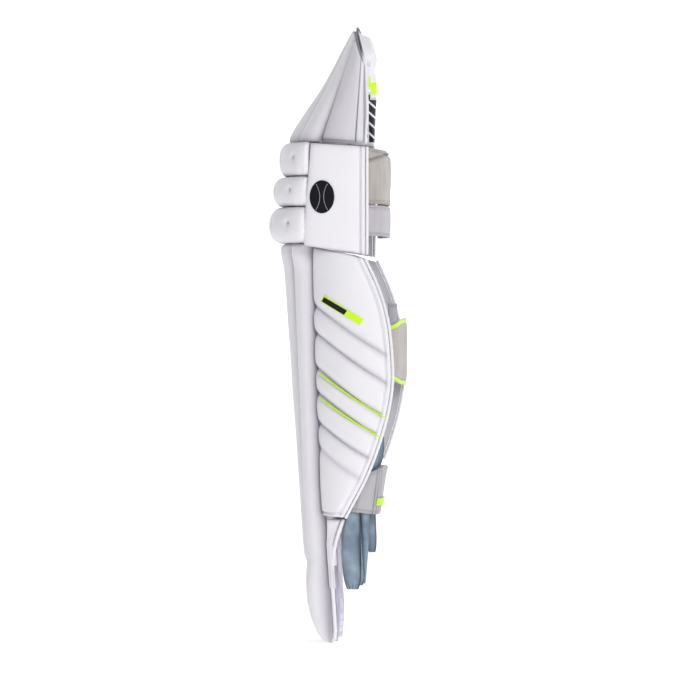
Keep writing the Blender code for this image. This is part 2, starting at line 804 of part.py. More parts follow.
def knee_wings():
    front, back = knee_wing_grids()
    slab("knee_wing_outer", front, back, "white_leather", "knee_wing_seam")
    slab("knee_wing_inner", mirrored_grid(front), mirrored_grid(back), "white_leather", "knee_fold")
    place, tangent = knee_wing_inside(1.0)
    edge = place + side_of(tangent) * 2.0 + Vector((0, PIPING_RADIUS + GAP + 0.2, 0))
    line = [Vector((edge.x, edge.y, z)) for z in spread(KNEE_WING_TOP[1] - 1, KNEE_WING_FOOT[1] + 1, 6)]
    piping("knee_wing_binding", line, PIPING_RADIUS, "white_leather", "knee_wing_seam")
    emblem()
    faces = []
    for out in (-GAP, -GAP - PATCH):
        grid = []
        for z in (-10.0, 36.0):
            row = []
            for t in (0.72, 0.82, 0.92):
                place, tangent = knee_wing_inside(t)
                side = place + side_of(tangent) * out
                row.append(Vector((side.x, side.y, z)))
            grid.append(row)
        faces.append(grid)
    slab("knee_loop_patch", *faces, "hook_tape", "knee_wing_seam")


def knee():
    for name, sizes in ROLLS.items():
        knee_roll(name, *sizes)
    knee_board()
    knee_fold_strip()
    knee_cushion()
    knee_wings()


# ---------------------------------------------------------------- top hat

HAT_BASE_X = 86.0
HAT_SIDE_ANGLE = 50.0
HAT_CENTRE_ANGLE = 20.0
HAT_BOARD = 3.0
HAT_GAP = 1.0


hat_depth = smooth((0, 24), (0.12, 18), (0.35, 11), (1, 3))
hat_lining_reach = smooth((0, 1), (0.35, 4), (0.74, 9), (1, 10))


def hat_surface(angle, level):
    """The hat's board: from its base arc at level 0 up straight lines to the rounded edge at level 1."""
    turn = math.radians(angle)
    sine, cosine = math.sin(turn), math.cos(turn)
    base = Vector((HAT_BASE_X * sine, 54.0 - 78.0 * cosine, HAT_BASE_Z - 5.0 * (1 - cosine)))
    edge = Vector((70.0 * sine, 50.0 - 12.0 * cosine, HAT_EDGE_Z + (TOP_Z - HAT_EDGE_Z) * cosine))
    return base.lerp(edge, level)


def hat_point(angle, level, out):
    """A point this far outside the hat's board."""
    step = 0.5
    along = hat_surface(angle + step, level) - hat_surface(angle - step, level)
    up = hat_surface(angle, min(level + 0.01, 1)) - hat_surface(angle, max(level - 0.01, 0))
    normal = along.cross(up).normalized()
    return hat_surface(angle, level) + normal * out


def hat_front(angle, level, out):
    """A point on the front of a hat bolster. Near the fold it lies straight ahead of the board, and not above it."""
    place = hat_point(angle, level, out)
    level_with_board = max(0.0, 1.0 - level / 0.25) ** 2
    place.z -= (place.z - hat_surface(angle, level).z) * level_with_board
    return place


def hat_bolster(name, first, last, flip=False):
    rings = []
    for level in (0.012, 0.05, 0.12, 0.2, 0.4, 0.6, 0.8, 0.93, 0.985):
        depth = hat_depth(level) * (0.9 if level == 0.012 else 1.0)
        middle, half = (first + last) / 2, (last - first) / 2 - 0.5
        ring = []
        for w in (-1, -0.9, -0.6, -0.2, 0.2, 0.6, 0.9, 1):
            out = HAT_GAP + 1.2 + (depth - 1.2) * rounded(w, 2.6)
            ring.append(hat_front(middle + half * w, level, out))
        for w in (0.8, 0.0, -0.8):
            ring.append(hat_front(middle + half * w, level, HAT_GAP))
        rings.append(mirrored(ring) if flip else ring)
    loft(name, rings, "white_leather", "hat_fold")


def hat_side(name, flip=False):
    """The flat leather side between the last bolster and the piped edge."""
    front, back = [], []
    for level in (0.012, 0.2, 0.45, 0.7, 0.9, 0.985):
        outer, inner = [], []
        for angle in (50.8, 58, 68, 78, 85, 88):
            swell = 3.0 + 5.0 * rounded((angle - 69.4) / 18.6, 3) * (1 - 0.6 * level)
            outer.append(hat_point(angle, level, HAT_GAP + swell))
            inner.append(hat_point(angle, level, HAT_GAP))
        front.append(mirrored(outer) if flip else outer)
        back.append(mirrored(inner) if flip else inner)
    slab(name, front, back, "side_leather", "hat_fold")


def hat_board():
    front, back = [], []
    for level in (0.0, 0.3, 0.65, 1.0):
        angles = spread(-90, 90, 15)
        front.append([hat_point(a, level, 0.0) for a in angles])
        back.append([hat_point(a, level, -HAT_BOARD) for a in angles])
    slab("top_hat_board", front, back, "board", "hat_fold")


def hat_fold_strip():
    """The soft strip that closes the fold between the hat's board and the knee board below it."""
    front, back = [], []
    high, low = -GAP, KNEE_TOP_Z - 1 + GAP
    places = spread(-34, 34, 7)
    for grid, out in ((front, -0.8), (back, -HAT_BOARD + 0.4)):
        base = [hat_point(angle_at(x, HAT_BASE_X), 0.0, out) for x in places]
        grid.append([p + Vector((0, 0, high)) for p in base])
        grid.append([board_point(angle_at(x, ROLL_BACK_X + out), low, out) for x in places])
    slab("top_hat_fold_strip", front, back, "side_leather", "hat_fold")


def hat_cushion():
    """The lining cushion inside the hat, thicker towards its crown. Its ends stand out past the hat's edges."""
    front, back = [], []
    for level in (0.03, 0.1, 0.3, 0.65, 0.9, 0.98):
        reach = Vector((0, hat_lining_reach(level), 0))
        thick = (12.0 + 8.0 * level**2) * (0.7 if level in (0.03, 0.98) else 1.0)
        angles = spread(-90, 90, 15)
        outer = [hat_point(a, level, -HAT_BOARD - HAT_GAP - GAP) for a in angles]
        inner = [hat_point(a, level, -HAT_BOARD - HAT_GAP - GAP - thick) for a in angles]
        front.append([outer[0] + reach, *outer, outer[-1] + reach])
        back.append([inner[0] + reach, *inner, inner[-1] + reach])
    slab("top_hat_cushion", front, back, "white_leather", "hat_fold")


def hat_binding():
    """The piping over the hat's edge: up the outer side, over the crown and down the inner side."""
    lift = PIPING_RADIUS + GAP + 0.4
    side = [hat_surface(90, level) + Vector((1.5, lift, 0)) for level in (0.02, 0.25, 0.5, 0.75, 0.97)]
    crown = []
    for angle in (84, 72, 60, 45, 30, 15):
        turn = math.radians(angle)
        away = Vector((math.sin(turn), 0.45 + 0.6 * math.sin(turn) ** 4, math.cos(turn))).normalized()
        crown.append(hat_surface(angle, 1.0) + away * (lift + 1.6))
    top = hat_surface(0, 1.0) + Vector((0, 0.45, 1)).normalized() * (lift + 1.6)
    half = side + crown
    return half + [top] + mirrored(half)[::-1]


def top_hat():
    hat_board()
    hat_fold_strip()
    hat_bolster("top_hat_bolster_centre", -HAT_CENTRE_ANGLE, HAT_CENTRE_ANGLE)
    hat_bolster("top_hat_bolster_outer", HAT_CENTRE_ANGLE + 0.4, HAT_SIDE_ANGLE)
    hat_bolster("top_hat_bolster_inner", HAT_CENTRE_ANGLE + 0.4, HAT_SIDE_ANGLE, flip=True)
    hat_side("top_hat_side_outer")
    hat_side("top_hat_side_inner", flip=True)
    hat_cushion()
    piping("top_hat_binding", hat_binding(), PIPING_RADIUS, "white_leather", "hat_fold")


# ---------------------------------------------------------------- straps


def strap_path(line):
    """A smooth line through a strap's points seen from above, as a function of 0 to 1."""
    places = spread(0, 1, len(line))
    xs = smooth(*zip(places, [p[0] for p in line]))
    ys = smooth(*zip(places, [p[1] for p in line]))

    def at(t):
        ahead, behind = min(t + 0.01, 1), max(t - 0.01, 0)
        tangent = Vector((xs(ahead) - xs(behind), ys(ahead) - ys(behind), 0))
        outward = Vector((-tangent.y, tangent.x, 0)).normalized()
        return Vector((xs(t), ys(t), 0)), outward

    return at


def strap_band(name, at, span, foot, top, out, thick, material, on, columns=14, crown=0.0, slant=None):
    """A band of a strap between two of its places, from out to out + thick outside its line.

    A slant pushes it back by its value for each millimetre above the strap's middle height.
    """
    front, back = [], []
    for k in (0.0, 0.12, 0.5, 0.88, 1.0):
        outer, inner = [], []
        swell = crown * rounded(2 * k - 1, 4)
        for t in spread(*span, columns):
            place, outward = at(t)
            z = Vector((0, 0, foot(t) + (top(t) - foot(t)) * k))
            if slant:
                z.y = slant(t) * (z.z - ANKLE_STRAP_Z)
            outer.append(place + outward * (out + thick + swell) + z)
            inner.append(place + outward * out + z)
        front.append(outer)
        back.append(inner)
    slab(name, front, back, material, on)


def flat(value):
    return lambda t: value


def knee_strap():
    at = strap_path(KNEE_STRAP_LINE)
    on = "knee_strap_seam"
    strap_band("knee_strap_pad", at, (0.02, 0.86), flat(-19.0), flat(47.0), 0.0, 3.0, "cream_leather", on, crown=2.5)
    strap_band("knee_strap_band", at, (0.02, 0.9), flat(-58.0), flat(-22.0), 0.0, 3.0, "webbing", on, crown=1.0)
    strap_band("knee_strap_hook", at, (0.87, 1.0), flat(-6.0), flat(32.0), 0.8, 1.4, "hook_tape", on, columns=4)


def calf_strap():
    at = strap_path(CALF_STRAP_LINE)
    on = "calf_strap_seam"
    foot = smooth((0, -240), (0.5, -237), (1, -226))
    top = smooth((0, -156), (0.5, -160), (1, -172))
    strap_band("calf_strap_pad", at, (0.02, 0.86), foot, top, 0.0, 3.0, "cream_leather", on, crown=2.5)
    strap_band("calf_strap_tab", at, (0.6, 0.8), flat(-155.0), flat(-139.0), 0.5, 2.0, "elastic", on, columns=5)
    strap_band("calf_strap_hook", at, (0.87, 1.0), flat(-218.0), flat(-180.0), 0.8, 1.4, "hook_tape", on, columns=4)


def ankle_strap():
    at = strap_path(ANKLE_STRAP_LINE)
    on = "ankle_strap_seam"
    foot = smooth((0, -392), (0.5, -396), (1, -392))
    top = smooth((0, -345), (0.4, -337), (1, -348))
    slant = smooth((0, 0.56), (0.25, 0.2), (1, 0.2))
    sizes = (
        ("pad", (0.02, 0.86), foot, top, 0.0, 3.0, "cream_leather", 14, 2.0),
        ("hook", (0.87, 1.0), flat(-385.0), flat(-352.0), 0.8, 1.4, "hook_tape", 4, 0.0),
        ("pull", (0.3, 0.46), flat(-385.0), flat(-376.0), 6.0, 1.4, "neon", 4, 0.0),
    )
    for name, span, low, high, out, thick, material, columns, crown in sizes:
        strap_band("ankle_strap_" + name, at, span, low, high, out, thick, material, on, columns, crown, slant)


# ---------------------------------------------------------------- assembly


def main():
    clear_scene()
    pivot("knee_fold", (0, KNEE_FOLD_Y, KNEE_FOLD_Z))
    pivot("hat_fold", (0, HAT_FOLD_Y, HAT_FOLD_Z))
    pivot("calf_wing_seam", tuple(shin_point(seam_angle(-236) + 1.6, 1.0, -236)))
    pivot("knee_wing_seam", (*KNEE_WING_SEAM, -8.0))
    pivot("knee_strap_seam", (*KNEE_STRAP_LINE[0], 0.0))
    pivot("calf_strap_seam", (*CALF_STRAP_LINE[0], -198.0))
    pivot("ankle_strap_seam", (*ANKLE_STRAP_LINE[0], ANKLE_STRAP_Z))
    shin_board()
    shin_bolsters()
    calf_wings()
    instep()
    lining()
    knee()
    top_hat()
    knee_strap()
    calf_strap()
    ankle_strap()


main()
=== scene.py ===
# %% [markdown]
# # A cricket batting pad
#
# A batting pad is sewn together like luggage and stuffed like a cushion. Long leather bolsters and rolls
# on the front take the ball, two soft wings wrap the sides, a folding top hat covers the thigh, and
# straps close it all behind the leg. The CAD model already holds every piece in its place, so each step
# below makes the skin of one piece: a surface with its seams, puckers and stitches, and then the stuff it
# is made of.

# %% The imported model
import json
import math

import bmesh
import bpy
import numpy as np
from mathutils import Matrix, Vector

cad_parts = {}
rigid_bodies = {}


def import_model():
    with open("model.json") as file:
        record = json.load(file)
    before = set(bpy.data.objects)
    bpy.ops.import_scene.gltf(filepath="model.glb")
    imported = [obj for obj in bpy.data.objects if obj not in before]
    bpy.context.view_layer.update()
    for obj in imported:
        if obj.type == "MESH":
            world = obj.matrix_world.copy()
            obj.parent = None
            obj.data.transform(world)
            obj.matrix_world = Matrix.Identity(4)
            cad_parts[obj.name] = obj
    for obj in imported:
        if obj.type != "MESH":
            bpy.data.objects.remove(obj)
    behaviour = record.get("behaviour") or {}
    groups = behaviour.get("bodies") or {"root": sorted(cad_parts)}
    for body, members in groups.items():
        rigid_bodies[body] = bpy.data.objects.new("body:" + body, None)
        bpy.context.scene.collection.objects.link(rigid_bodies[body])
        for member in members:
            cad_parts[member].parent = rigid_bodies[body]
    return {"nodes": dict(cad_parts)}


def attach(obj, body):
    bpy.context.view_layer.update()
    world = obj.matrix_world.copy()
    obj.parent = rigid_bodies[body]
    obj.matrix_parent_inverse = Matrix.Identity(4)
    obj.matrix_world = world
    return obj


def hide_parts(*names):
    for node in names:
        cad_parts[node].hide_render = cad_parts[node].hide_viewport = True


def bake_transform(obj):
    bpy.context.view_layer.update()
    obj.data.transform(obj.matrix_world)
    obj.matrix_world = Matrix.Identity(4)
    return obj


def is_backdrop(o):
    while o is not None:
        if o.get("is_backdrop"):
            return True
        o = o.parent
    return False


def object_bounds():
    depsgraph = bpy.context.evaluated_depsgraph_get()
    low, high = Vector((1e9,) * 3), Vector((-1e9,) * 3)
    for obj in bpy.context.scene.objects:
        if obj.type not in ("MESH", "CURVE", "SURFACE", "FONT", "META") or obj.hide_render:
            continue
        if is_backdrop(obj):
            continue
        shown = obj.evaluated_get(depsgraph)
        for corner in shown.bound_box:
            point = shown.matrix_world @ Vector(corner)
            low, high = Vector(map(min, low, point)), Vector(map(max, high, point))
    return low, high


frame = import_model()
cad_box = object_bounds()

MM = 0.001
print("The pad's box in mm:", [tuple(round(c / MM, 1) for c in corner) for corner in cad_box])

# %% [markdown]
# ## Tools for surfaces
#
# Every piece is a grid of points worked out with numpy in millimetres, a row for each step along the
# piece and a column for each step across it. Each point also carries how deep in a crease it lies,
# which sets how much grey shade is painted into its colour there, and its place on the cloth for weaves.
# One function joins such a grid into a mesh: it welds the points that fall together, which closes seams
# and poles, and turns all faces outwards.

# %% Joining a grid into a mesh
def build(name, points, faces, material, sharp=60):
    """A mesh from points (x, y, z, crease, u, v) in mm and rows of four corners, where crease is
    the share of painted shade. Corners that coincide are one."""
    places, first, merged = np.unique(
        np.round(points[:, :3], 4), axis=0, return_index=True, return_inverse=True
    )
    merged = merged.reshape(-1)
    corners = merged[faces]
    differs = corners != np.roll(corners, 1, axis=1)
    sizes = differs.sum(axis=1)
    whole = sizes >= 3
    loops, sources, sizes = corners[whole][differs[whole]], faces[whole][differs[whole]], sizes[whole]
    mesh = bpy.data.meshes.new(name)
    mesh.vertices.add(len(places))
    mesh.vertices.foreach_set("co", (places * MM).ravel())
    mesh.loops.add(len(loops))
    mesh.loops.foreach_set("vertex_index", loops.astype(np.int32))
    mesh.polygons.add(len(sizes))
    mesh.polygons.foreach_set("loop_start", np.concatenate([[0], np.cumsum(sizes)[:-1]]).astype(np.int32))
    mesh.update(calc_edges=True)
    # This attribute is painted shade: how deep each point lies in a crease, which the finishes turn into
    # their shade colour.
    crease = mesh.attributes.new("crease", "FLOAT", "POINT")
    crease.data.foreach_set("value", points[first, 3].astype(np.float32))
    cloth = mesh.uv_layers.new(name="cloth")
    cloth.data.foreach_set("uv", (points[sources, 4:6] * MM).astype(np.float32).ravel())
    turned = bmesh.new()
    turned.from_mesh(mesh)
    bmesh.ops.recalc_face_normals(turned, faces=turned.faces)
    turned.to_mesh(mesh)
    turned.free()
    mesh.shade_smooth()
    mesh.set_sharp_from_angle(angle=math.radians(sharp))
    mesh.materials.append(material)
    piece = bpy.data.objects.new(name, mesh)
    bpy.context.collection.objects.link(piece)
    return piece


def grid_faces(rows, columns, wrap):
    """The four corners of each square of a grid. With wrap, the last column meets the first."""
    i = np.arange(rows - 1)[:, None] * columns
    j = np.arange(columns if wrap else columns - 1)[None, :]
    k = (j + 1) % columns
    return np.stack([i + j, i + k, i + columns + k, i + columns + j], axis=-1).reshape(-1, 4)


def full(points):
    """Gives plain (x, y, z) points a painted crease of 0 and their distances along the grid's two ways as u
    and v.
    """
    if points.shape[-1] == 6:
        return points
    extra = np.zeros(points.shape[:-1] + (3,))
    if points.ndim == 3:
        along = np.linalg.norm(np.diff(points[..., :3], axis=1), axis=-1)
        down = np.linalg.norm(np.diff(points[..., :3], axis=0), axis=-1)
        extra[:, 1:, 1] = np.cumsum(along, axis=1)
        extra[1:, :, 2] = np.cumsum(down, axis=0)
    if points.shape[-1] == 4:
        extra[..., 0] = points[..., 3]
    return np.concatenate([points[..., :3], extra], axis=-1)


# %% [markdown]
# Stuffed leather comes in three forms here. A bolster is a closed ring carried along its length. A pad is
# two faces sewn together round their edge. Piping is a round cord along a line. Each is one short
# function.

# %% Three kinds of body
def loft(name, rings, material):
    """A body through closed rings. Each end ring runs in to its own middle, which closes it."""
    rings = full(rings)
    ends = [np.broadcast_to(rings[k].mean(axis=0), rings[k].shape)[None] for k in (0, -1)]
    rings = np.concatenate([ends[0], rings, ends[1]])
    rows, columns = rings.shape[:2]
    return build(name, rings.reshape(-1, 6), grid_faces(rows, columns, True), material)


def sewn(front, back):
    """The rings of a pad: front and back meet along a line halfway between them on all four sides."""
    front, back = full(front), full(back)
    half = (front + back) / 2
    for face in (front, back):
        face[0] = half[0] * 0.5 + face[0] * 0.5
        face[-1] = half[-1] * 0.5 + face[-1] * 0.5
    ring = np.concatenate([half[:, :1], front, half[:, -1:], back[:, ::-1]], axis=1)
    edges = []
    for k in (0, -1):
        edges.append(np.concatenate([half[k, :1], half[k], half[k, -1:], half[k, ::-1]])[None])
    return np.concatenate([edges[0], ring, edges[1]])


def pad(name, front, back, material):
    rings = sewn(front, back)
    rows, columns = rings.shape[:2]
    return build(name, rings.reshape(-1, 6), grid_faces(rows, columns, True), material)


def tube(path, radius, sides=12, up=(0.0, 0.0, 1.0)):
    """Rings of a round cord along a path, with rounded ends. Each ring lies square to the path."""
    path = np.asarray(path, float)
    ahead = np.gradient(path, axis=0)
    ahead /= np.linalg.norm(ahead, axis=1, keepdims=True)
    side = np.cross(ahead, np.broadcast_to(up, path.shape))
    side /= np.linalg.norm(side, axis=1, keepdims=True)
    rise = np.cross(side, ahead)
    size = np.broadcast_to(radius, len(path)).astype(float)
    tips = ((path[:1] - ahead[:1] * size[0] * 0.5, 0), (path[-1:] + ahead[-1:] * size[-1] * 0.5, -1))
    path = np.concatenate([tips[0][0], path, tips[1][0]])
    side, rise = (np.concatenate([v[:1], v, v[-1:]]) for v in (side, rise))
    size = np.concatenate([size[:1] * 0.6, size, size[-1:] * 0.6])
    turn = np.linspace(0, 2 * np.pi, sides, endpoint=False)[None, :, None]
    return path[:, None] + size[:, None, None] * (np.cos(turn) * side[:, None] + np.sin(turn) * rise[:, None])


# %% [markdown]
# ## Tools for shapes
#
# Stuffing pushes a surface out along its own normal, a seam pulls it in, and loose cloth ripples. So the
# normals of a grid are worked out once, and every later detail is a distance along them.

# %% Curves, normals and ripples
def smooth(*knots):
    """A function through (place, value) knots. Between two it is the cubic with their slopes, level past
    the ends."""
    places, values = np.array(knots, float).T
    slopes = np.gradient(values, places)

    def value(place):
        place = np.clip(place, places[0], places[-1])
        i = np.clip(np.searchsorted(places, place, side="right") - 1, 0, len(places) - 2)
        step = places[i + 1] - places[i]
        t = (place - places[i]) / step
        rise = (3 - 2 * t) * t * t
        bend = t * (1 - t) ** 2 * slopes[i] + t * t * (t - 1) * slopes[i + 1]
        return values[i] * (1 - rise) + values[i + 1] * rise + bend * step

    return value


def rounded(t, power=2.0):
    """A rounded hump: the power-th root of 1 - |t| to that power, so 1 in the middle and 0 at -1 and 1."""
    return np.maximum(1.0 - np.abs(t) ** power, 0.0) ** (1.0 / power)


def step_up(value, low, high):
    """0 below low, 1 above high, and 3t^2 - 2t^3 between."""
    t = np.clip((value - low) / (high - low), 0, 1)
    return t * t * (3 - 2 * t)


def place(x, y, z):
    return np.stack(np.broadcast_arrays(x, y, z), axis=-1).astype(float)


def normals(points, middle=(0.0, 25.0)):
    """Unit normals of a grid, the cross product of its two directions, pointing away from the leg's
    middle."""
    normal = np.cross(np.gradient(points[..., :3], axis=0), np.gradient(points[..., :3], axis=1))
    normal /= np.linalg.norm(normal, axis=-1, keepdims=True) + 1e-9
    away = points[..., :2] - np.array(middle)
    facing = np.sign(np.median((normal[..., :2] * away).sum(axis=-1)))
    return normal * facing


def with_crease_shade(points, crease):
    """The grid with a painted crease as each point's fourth number."""
    return np.concatenate([points, np.broadcast_to(crease, points.shape[:2])[..., None]], axis=-1)


def pushed(points, distance, crease=None):
    """The grid moved out along its normals. The painted crease, if given, rides along as each
    point's fourth number."""
    moved = points[..., :3] + normals(points) * np.broadcast_to(distance, points.shape[:2])[..., None]
    if crease is None:
        return moved
    return with_crease_shade(moved, crease)


def ripples(u, v, seed, long=60.0, short=16.0, waves=9):
    """Loose cloth from -1 to 1: the mean of sine waves, each with its own direction and length between
    two sizes."""
    dice = np.random.default_rng(seed)
    total = 0.0
    for _ in range(waves):
        angle, length = dice.uniform(0, np.pi), dice.uniform(short, long)
        phase = dice.uniform(0, 2 * np.pi)
        total = total + np.sin((u * np.cos(angle) + v * np.sin(angle)) * 2 * np.pi / length + phase)
    return total / waves ** 0.5 / 1.5


def puckers(along, distance, seed, pitch=8.0, reach=5.0):
    """The small gathers beside a seam: waves along it that fade away from it, with an uneven pitch."""
    drift = ripples(along, 0.0 * along, seed, 90.0, 40.0, 4)
    return np.exp(-distance / reach) * np.sin(along * 2 * np.pi / pitch + 3.0 * drift)


def mirrored(points):
    turned = np.array(points, float)
    turned[..., 0] *= -1
    return turned


# %% [markdown]
# ## Stitches
#
# A sewn seam is read by its thread. Each stitch is a short fat capsule that dips into the leather at both
# ends. One template of a few dozen faces is copied along a line, turned to follow it.

# %% Rows of stitches
def stitch_row(path, up, pitch=3.4, length=2.5, radius=0.36):
    """Rings of capsules along a path: at each step, template points turned by the path's direction and
    normal."""
    path, up = np.asarray(path, float)[:, :3], np.asarray(up, float)
    run = np.concatenate([[0], np.cumsum(np.linalg.norm(np.diff(path, axis=0), axis=1))])
    at = np.arange(pitch / 2, run[-1], pitch)
    centre = np.stack([np.interp(at, run, path[:, k]) for k in range(3)], axis=1)
    normal = np.stack([np.interp(at, run, np.broadcast_to(up, path.shape)[:, k]) for k in range(3)], axis=1)
    ahead = np.gradient(centre, axis=0)
    ahead /= np.linalg.norm(ahead, axis=1, keepdims=True)
    normal /= np.linalg.norm(normal, axis=1, keepdims=True)
    side = np.cross(ahead, normal)
    s = np.linspace(-1, 1, 5)
    fat, lift = rounded(s, 3) * radius, radius * (0.9 - 1.2 * s * s)
    turn = np.linspace(0, 2 * np.pi, 6, endpoint=False)
    along = (s * length / 2)[:, None] * np.ones(6)
    across = fat[:, None] * np.cos(turn)
    out = fat[:, None] * np.sin(turn) + lift[:, None]
    shape = lambda v, w: v[:, None, None, :] * w[None, :, :, None]
    return centre[:, None, None, :] + shape(ahead, along) + shape(side, across) + shape(normal, out)


def stitches(name, rows, material, body, bend=None):
    """One piece from several rows of capsules."""
    rings = np.concatenate(rows)
    count, length, sides = rings.shape[:3]
    square = grid_faces(length, sides, True)
    faces = (square[None] + (np.arange(count) * length * sides)[:, None, None]).reshape(-1, 4)
    points = np.concatenate([rings.reshape(-1, 3), np.zeros((count * length * sides, 3))], axis=1)
    piece = build(name, points, faces, material)
    if bend:
        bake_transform(piece)
    else:
        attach(piece, body)
    print(name, count, "stitches")
    return piece


# %% [markdown]
# ## Tools for materials
#
# A finish is a small tree of nodes. Its maths reads best as plain expressions, so one class wraps a
# socket and adds a Math node for each operator, and one method adds any other node with its settings and
# sockets.

# %% Sockets as numbers, and finishes
class Wire:
    """One socket of a material. Sums and products of wires and numbers add Math nodes."""

    def __init__(self, finish, socket):
        self.finish, self.socket = finish, socket

    def math(self, operation, *others):
        return self.finish.node("ShaderNodeMath", {"operation": operation}, *others)

    def __add__(self, other):
        return self.math("ADD", self, other)

    def __radd__(self, other):
        return self.math("ADD", other, self)

    def __sub__(self, other):
        return self.math("SUBTRACT", self, other)

    def __rsub__(self, other):
        return self.math("SUBTRACT", other, self)

    def __mul__(self, other):
        return self.math("MULTIPLY", self, other)

    def __rmul__(self, other):
        return self.math("MULTIPLY", other, self)

    def __truediv__(self, other):
        return self.math("DIVIDE", self, other)

    def __pow__(self, other):
        return self.math("POWER", self, other)

    def __gt__(self, other):
        return self.math("GREATER_THAN", self, other)

    def __lt__(self, other):
        return self.math("LESS_THAN", self, other)

    def clip(self):
        return self.finish.node("ShaderNodeClamp", {}, self)

    def sine(self):
        return self.math("SINE", self)

    def size(self):
        return self.math("ABSOLUTE", self)

    def part(self):
        return self.math("FRACT", self)


class Finish:
    """One material, with its Principled shader, and the method that adds its nodes."""

    def __init__(self, name, roughness=0.5, **constants):
        self.material = bpy.data.materials.new(name)
        self.material.use_nodes = True
        self.tree = self.material.node_tree
        self.shader = self.tree.nodes["Principled BSDF"]
        self.shader.inputs["Roughness"].default_value = roughness
        for socket, value in constants.items():
            self.shader.inputs[socket.replace("_", " ")].default_value = value

    def node(self, kind, settings=None, *values, out=0, **named):
        """Adds a node: settings first, then its sockets by order or by name, and returns one of its
        outputs."""
        node = self.tree.nodes.new(kind)
        settings = dict(settings or {})
        for place_, colour in enumerate(settings.pop("stops", [])):
            ramp = node.color_ramp.elements
            stop = ramp[place_] if place_ < len(ramp) else ramp.new(colour[0])
            stop.position, stop.color = colour[0], (*colour[1], 1.0)
        for setting, value in settings.items():
            setattr(node, setting, value)
        sockets = [s for s in node.inputs if s.enabled]
        named = {key.replace("_", " "): value for key, value in named.items()}
        chosen = [(self.socket(sockets, key), value) for key, value in named.items()]
        for socket, value in [*zip(sockets, values), *chosen]:
            if isinstance(value, Wire):
                self.tree.links.new(value.socket, socket)
            elif socket.type == "RGBA" and len(value) == 3:
                socket.default_value = (*value, 1.0)
            else:
                socket.default_value = value
        outputs = [s for s in node.outputs if s.enabled]
        return Wire(self, outputs[out] if isinstance(out, int) else node.outputs[out])

    @staticmethod
    def socket(sockets, name):
        return next(s for s in sockets if s.name == name)

    def objects(self):
        return self.node("ShaderNodeTexCoord", out="Object")

    def cloth(self):
        """The place on the cloth as two numbers, in metres."""
        uv = self.node("ShaderNodeUVMap", {"uv_map": "cloth"})
        return [self.node("ShaderNodeSeparateXYZ", {}, uv, out=k) for k in (0, 1)]

    def heights(self):
        """The three object coordinates as numbers, in metres."""
        spot = self.objects()
        return [self.node("ShaderNodeSeparateXYZ", {}, spot, out=k) for k in range(3)]

    def noise(self, scale, detail=3.0, vector=None):
        vector = vector or self.objects()
        return self.node("ShaderNodeTexNoise", {}, Vector=vector, Scale=scale, Detail=detail, out="Fac")

    def cells(self, scale, feature="F1", vector=None):
        vector = vector or self.objects()
        settings = {"feature": feature}
        return self.node("ShaderNodeTexVoronoi", settings, Vector=vector, Scale=scale, out="Distance")

    # Each point's painted shade, read from the mesh.
    def crease(self):
        return self.node("ShaderNodeAttribute", {"attribute_name": "crease"}, out="Fac")

    def mix(self, amount, first, second):
        return self.node("ShaderNodeMix", {"data_type": "RGBA"}, Factor=amount, A=first, B=second)

    def bump(self, height, strength, distance, below=None):
        extra = {"Normal": below} if below else {}
        return self.node("ShaderNodeBump", {}, Strength=strength, Distance=distance, Height=height, **extra)

    def paint(self, **sockets):
        """Links wires to the shader's own sockets and returns the finished material."""
        for name, wire in sockets.items():
            self.tree.links.new(wire.socket, self.shader.inputs[name.replace("_", " ")])
        return self.material


# %% [markdown]
# ## The stuff it is made of
#
# Batting pads are skinned in coated leather: nearly matt white with a fine pebbled grain, and slightly
# yellow where hands rub it. Where it dips into a seam, shade is painted into its colour: greyer and a
# little violet. The grain is two layers of small cells, far finer than the shapes, so it lives in a bump
# and not in the mesh.

# %% Leathers
def leather(name, colour, shade, roughness=0.46, grain=0.16, age=0.25):
    """Coated leather: colour on the crowns, shade in the creases, a drift of age between, and a pebbled
    grain."""
    finish = Finish(name, roughness, Specular_IOR_Level=0.42)
    crease = finish.crease()
    drift = finish.noise(26.0, 4.0)
    spots = finish.noise(160.0, 2.0)
    worn = ((drift - 0.45) * 2.2 * age).clip()
    base = finish.mix(worn, colour, [c * w for c, w in zip(colour, (0.965, 0.955, 0.93))])
    # Painted shade: the crease value, with a little random tone, mixes the colour towards the shade colour.
    dull = (crease * 0.95 + (spots - 0.5) * 0.1).clip()
    skin = finish.mix(dull, base, shade)
    pebbles = finish.cells(1500.0, "SMOOTH_F1")
    folds = finish.noise(420.0, 3.0)
    fine = finish.bump(pebbles + folds * 0.6, grain, 0.0003)
    soft = finish.bump(drift, 0.10, 0.002, fine)
    gloss = roughness + (spots - 0.5) * 0.16 + crease * 0.15
    return finish.paint(Base_Color=skin, Roughness=gloss, Normal=soft)


white = leather("white leather", (0.83, 0.815, 0.85), (0.4, 0.375, 0.43))
side = leather("side leather", (0.71, 0.695, 0.735), (0.4, 0.38, 0.43), 0.5)
cream = leather("cream leather", (0.46, 0.42, 0.395), (0.21, 0.185, 0.175), 0.5, 0.22, 0.7)
dull = leather("strap leather", (0.45, 0.44, 0.46), (0.2, 0.195, 0.215), 0.52, 0.2, 0.9)
print("leathers:", white.name, side.name, cream.name)

# %% [markdown]
# The lining is a dense stretch nylon. Its weave is a twill: fine ribs that run at a slant, with a faint
# shine across them. The instep pad has a spacer mesh, a knit with rows of small round holes.

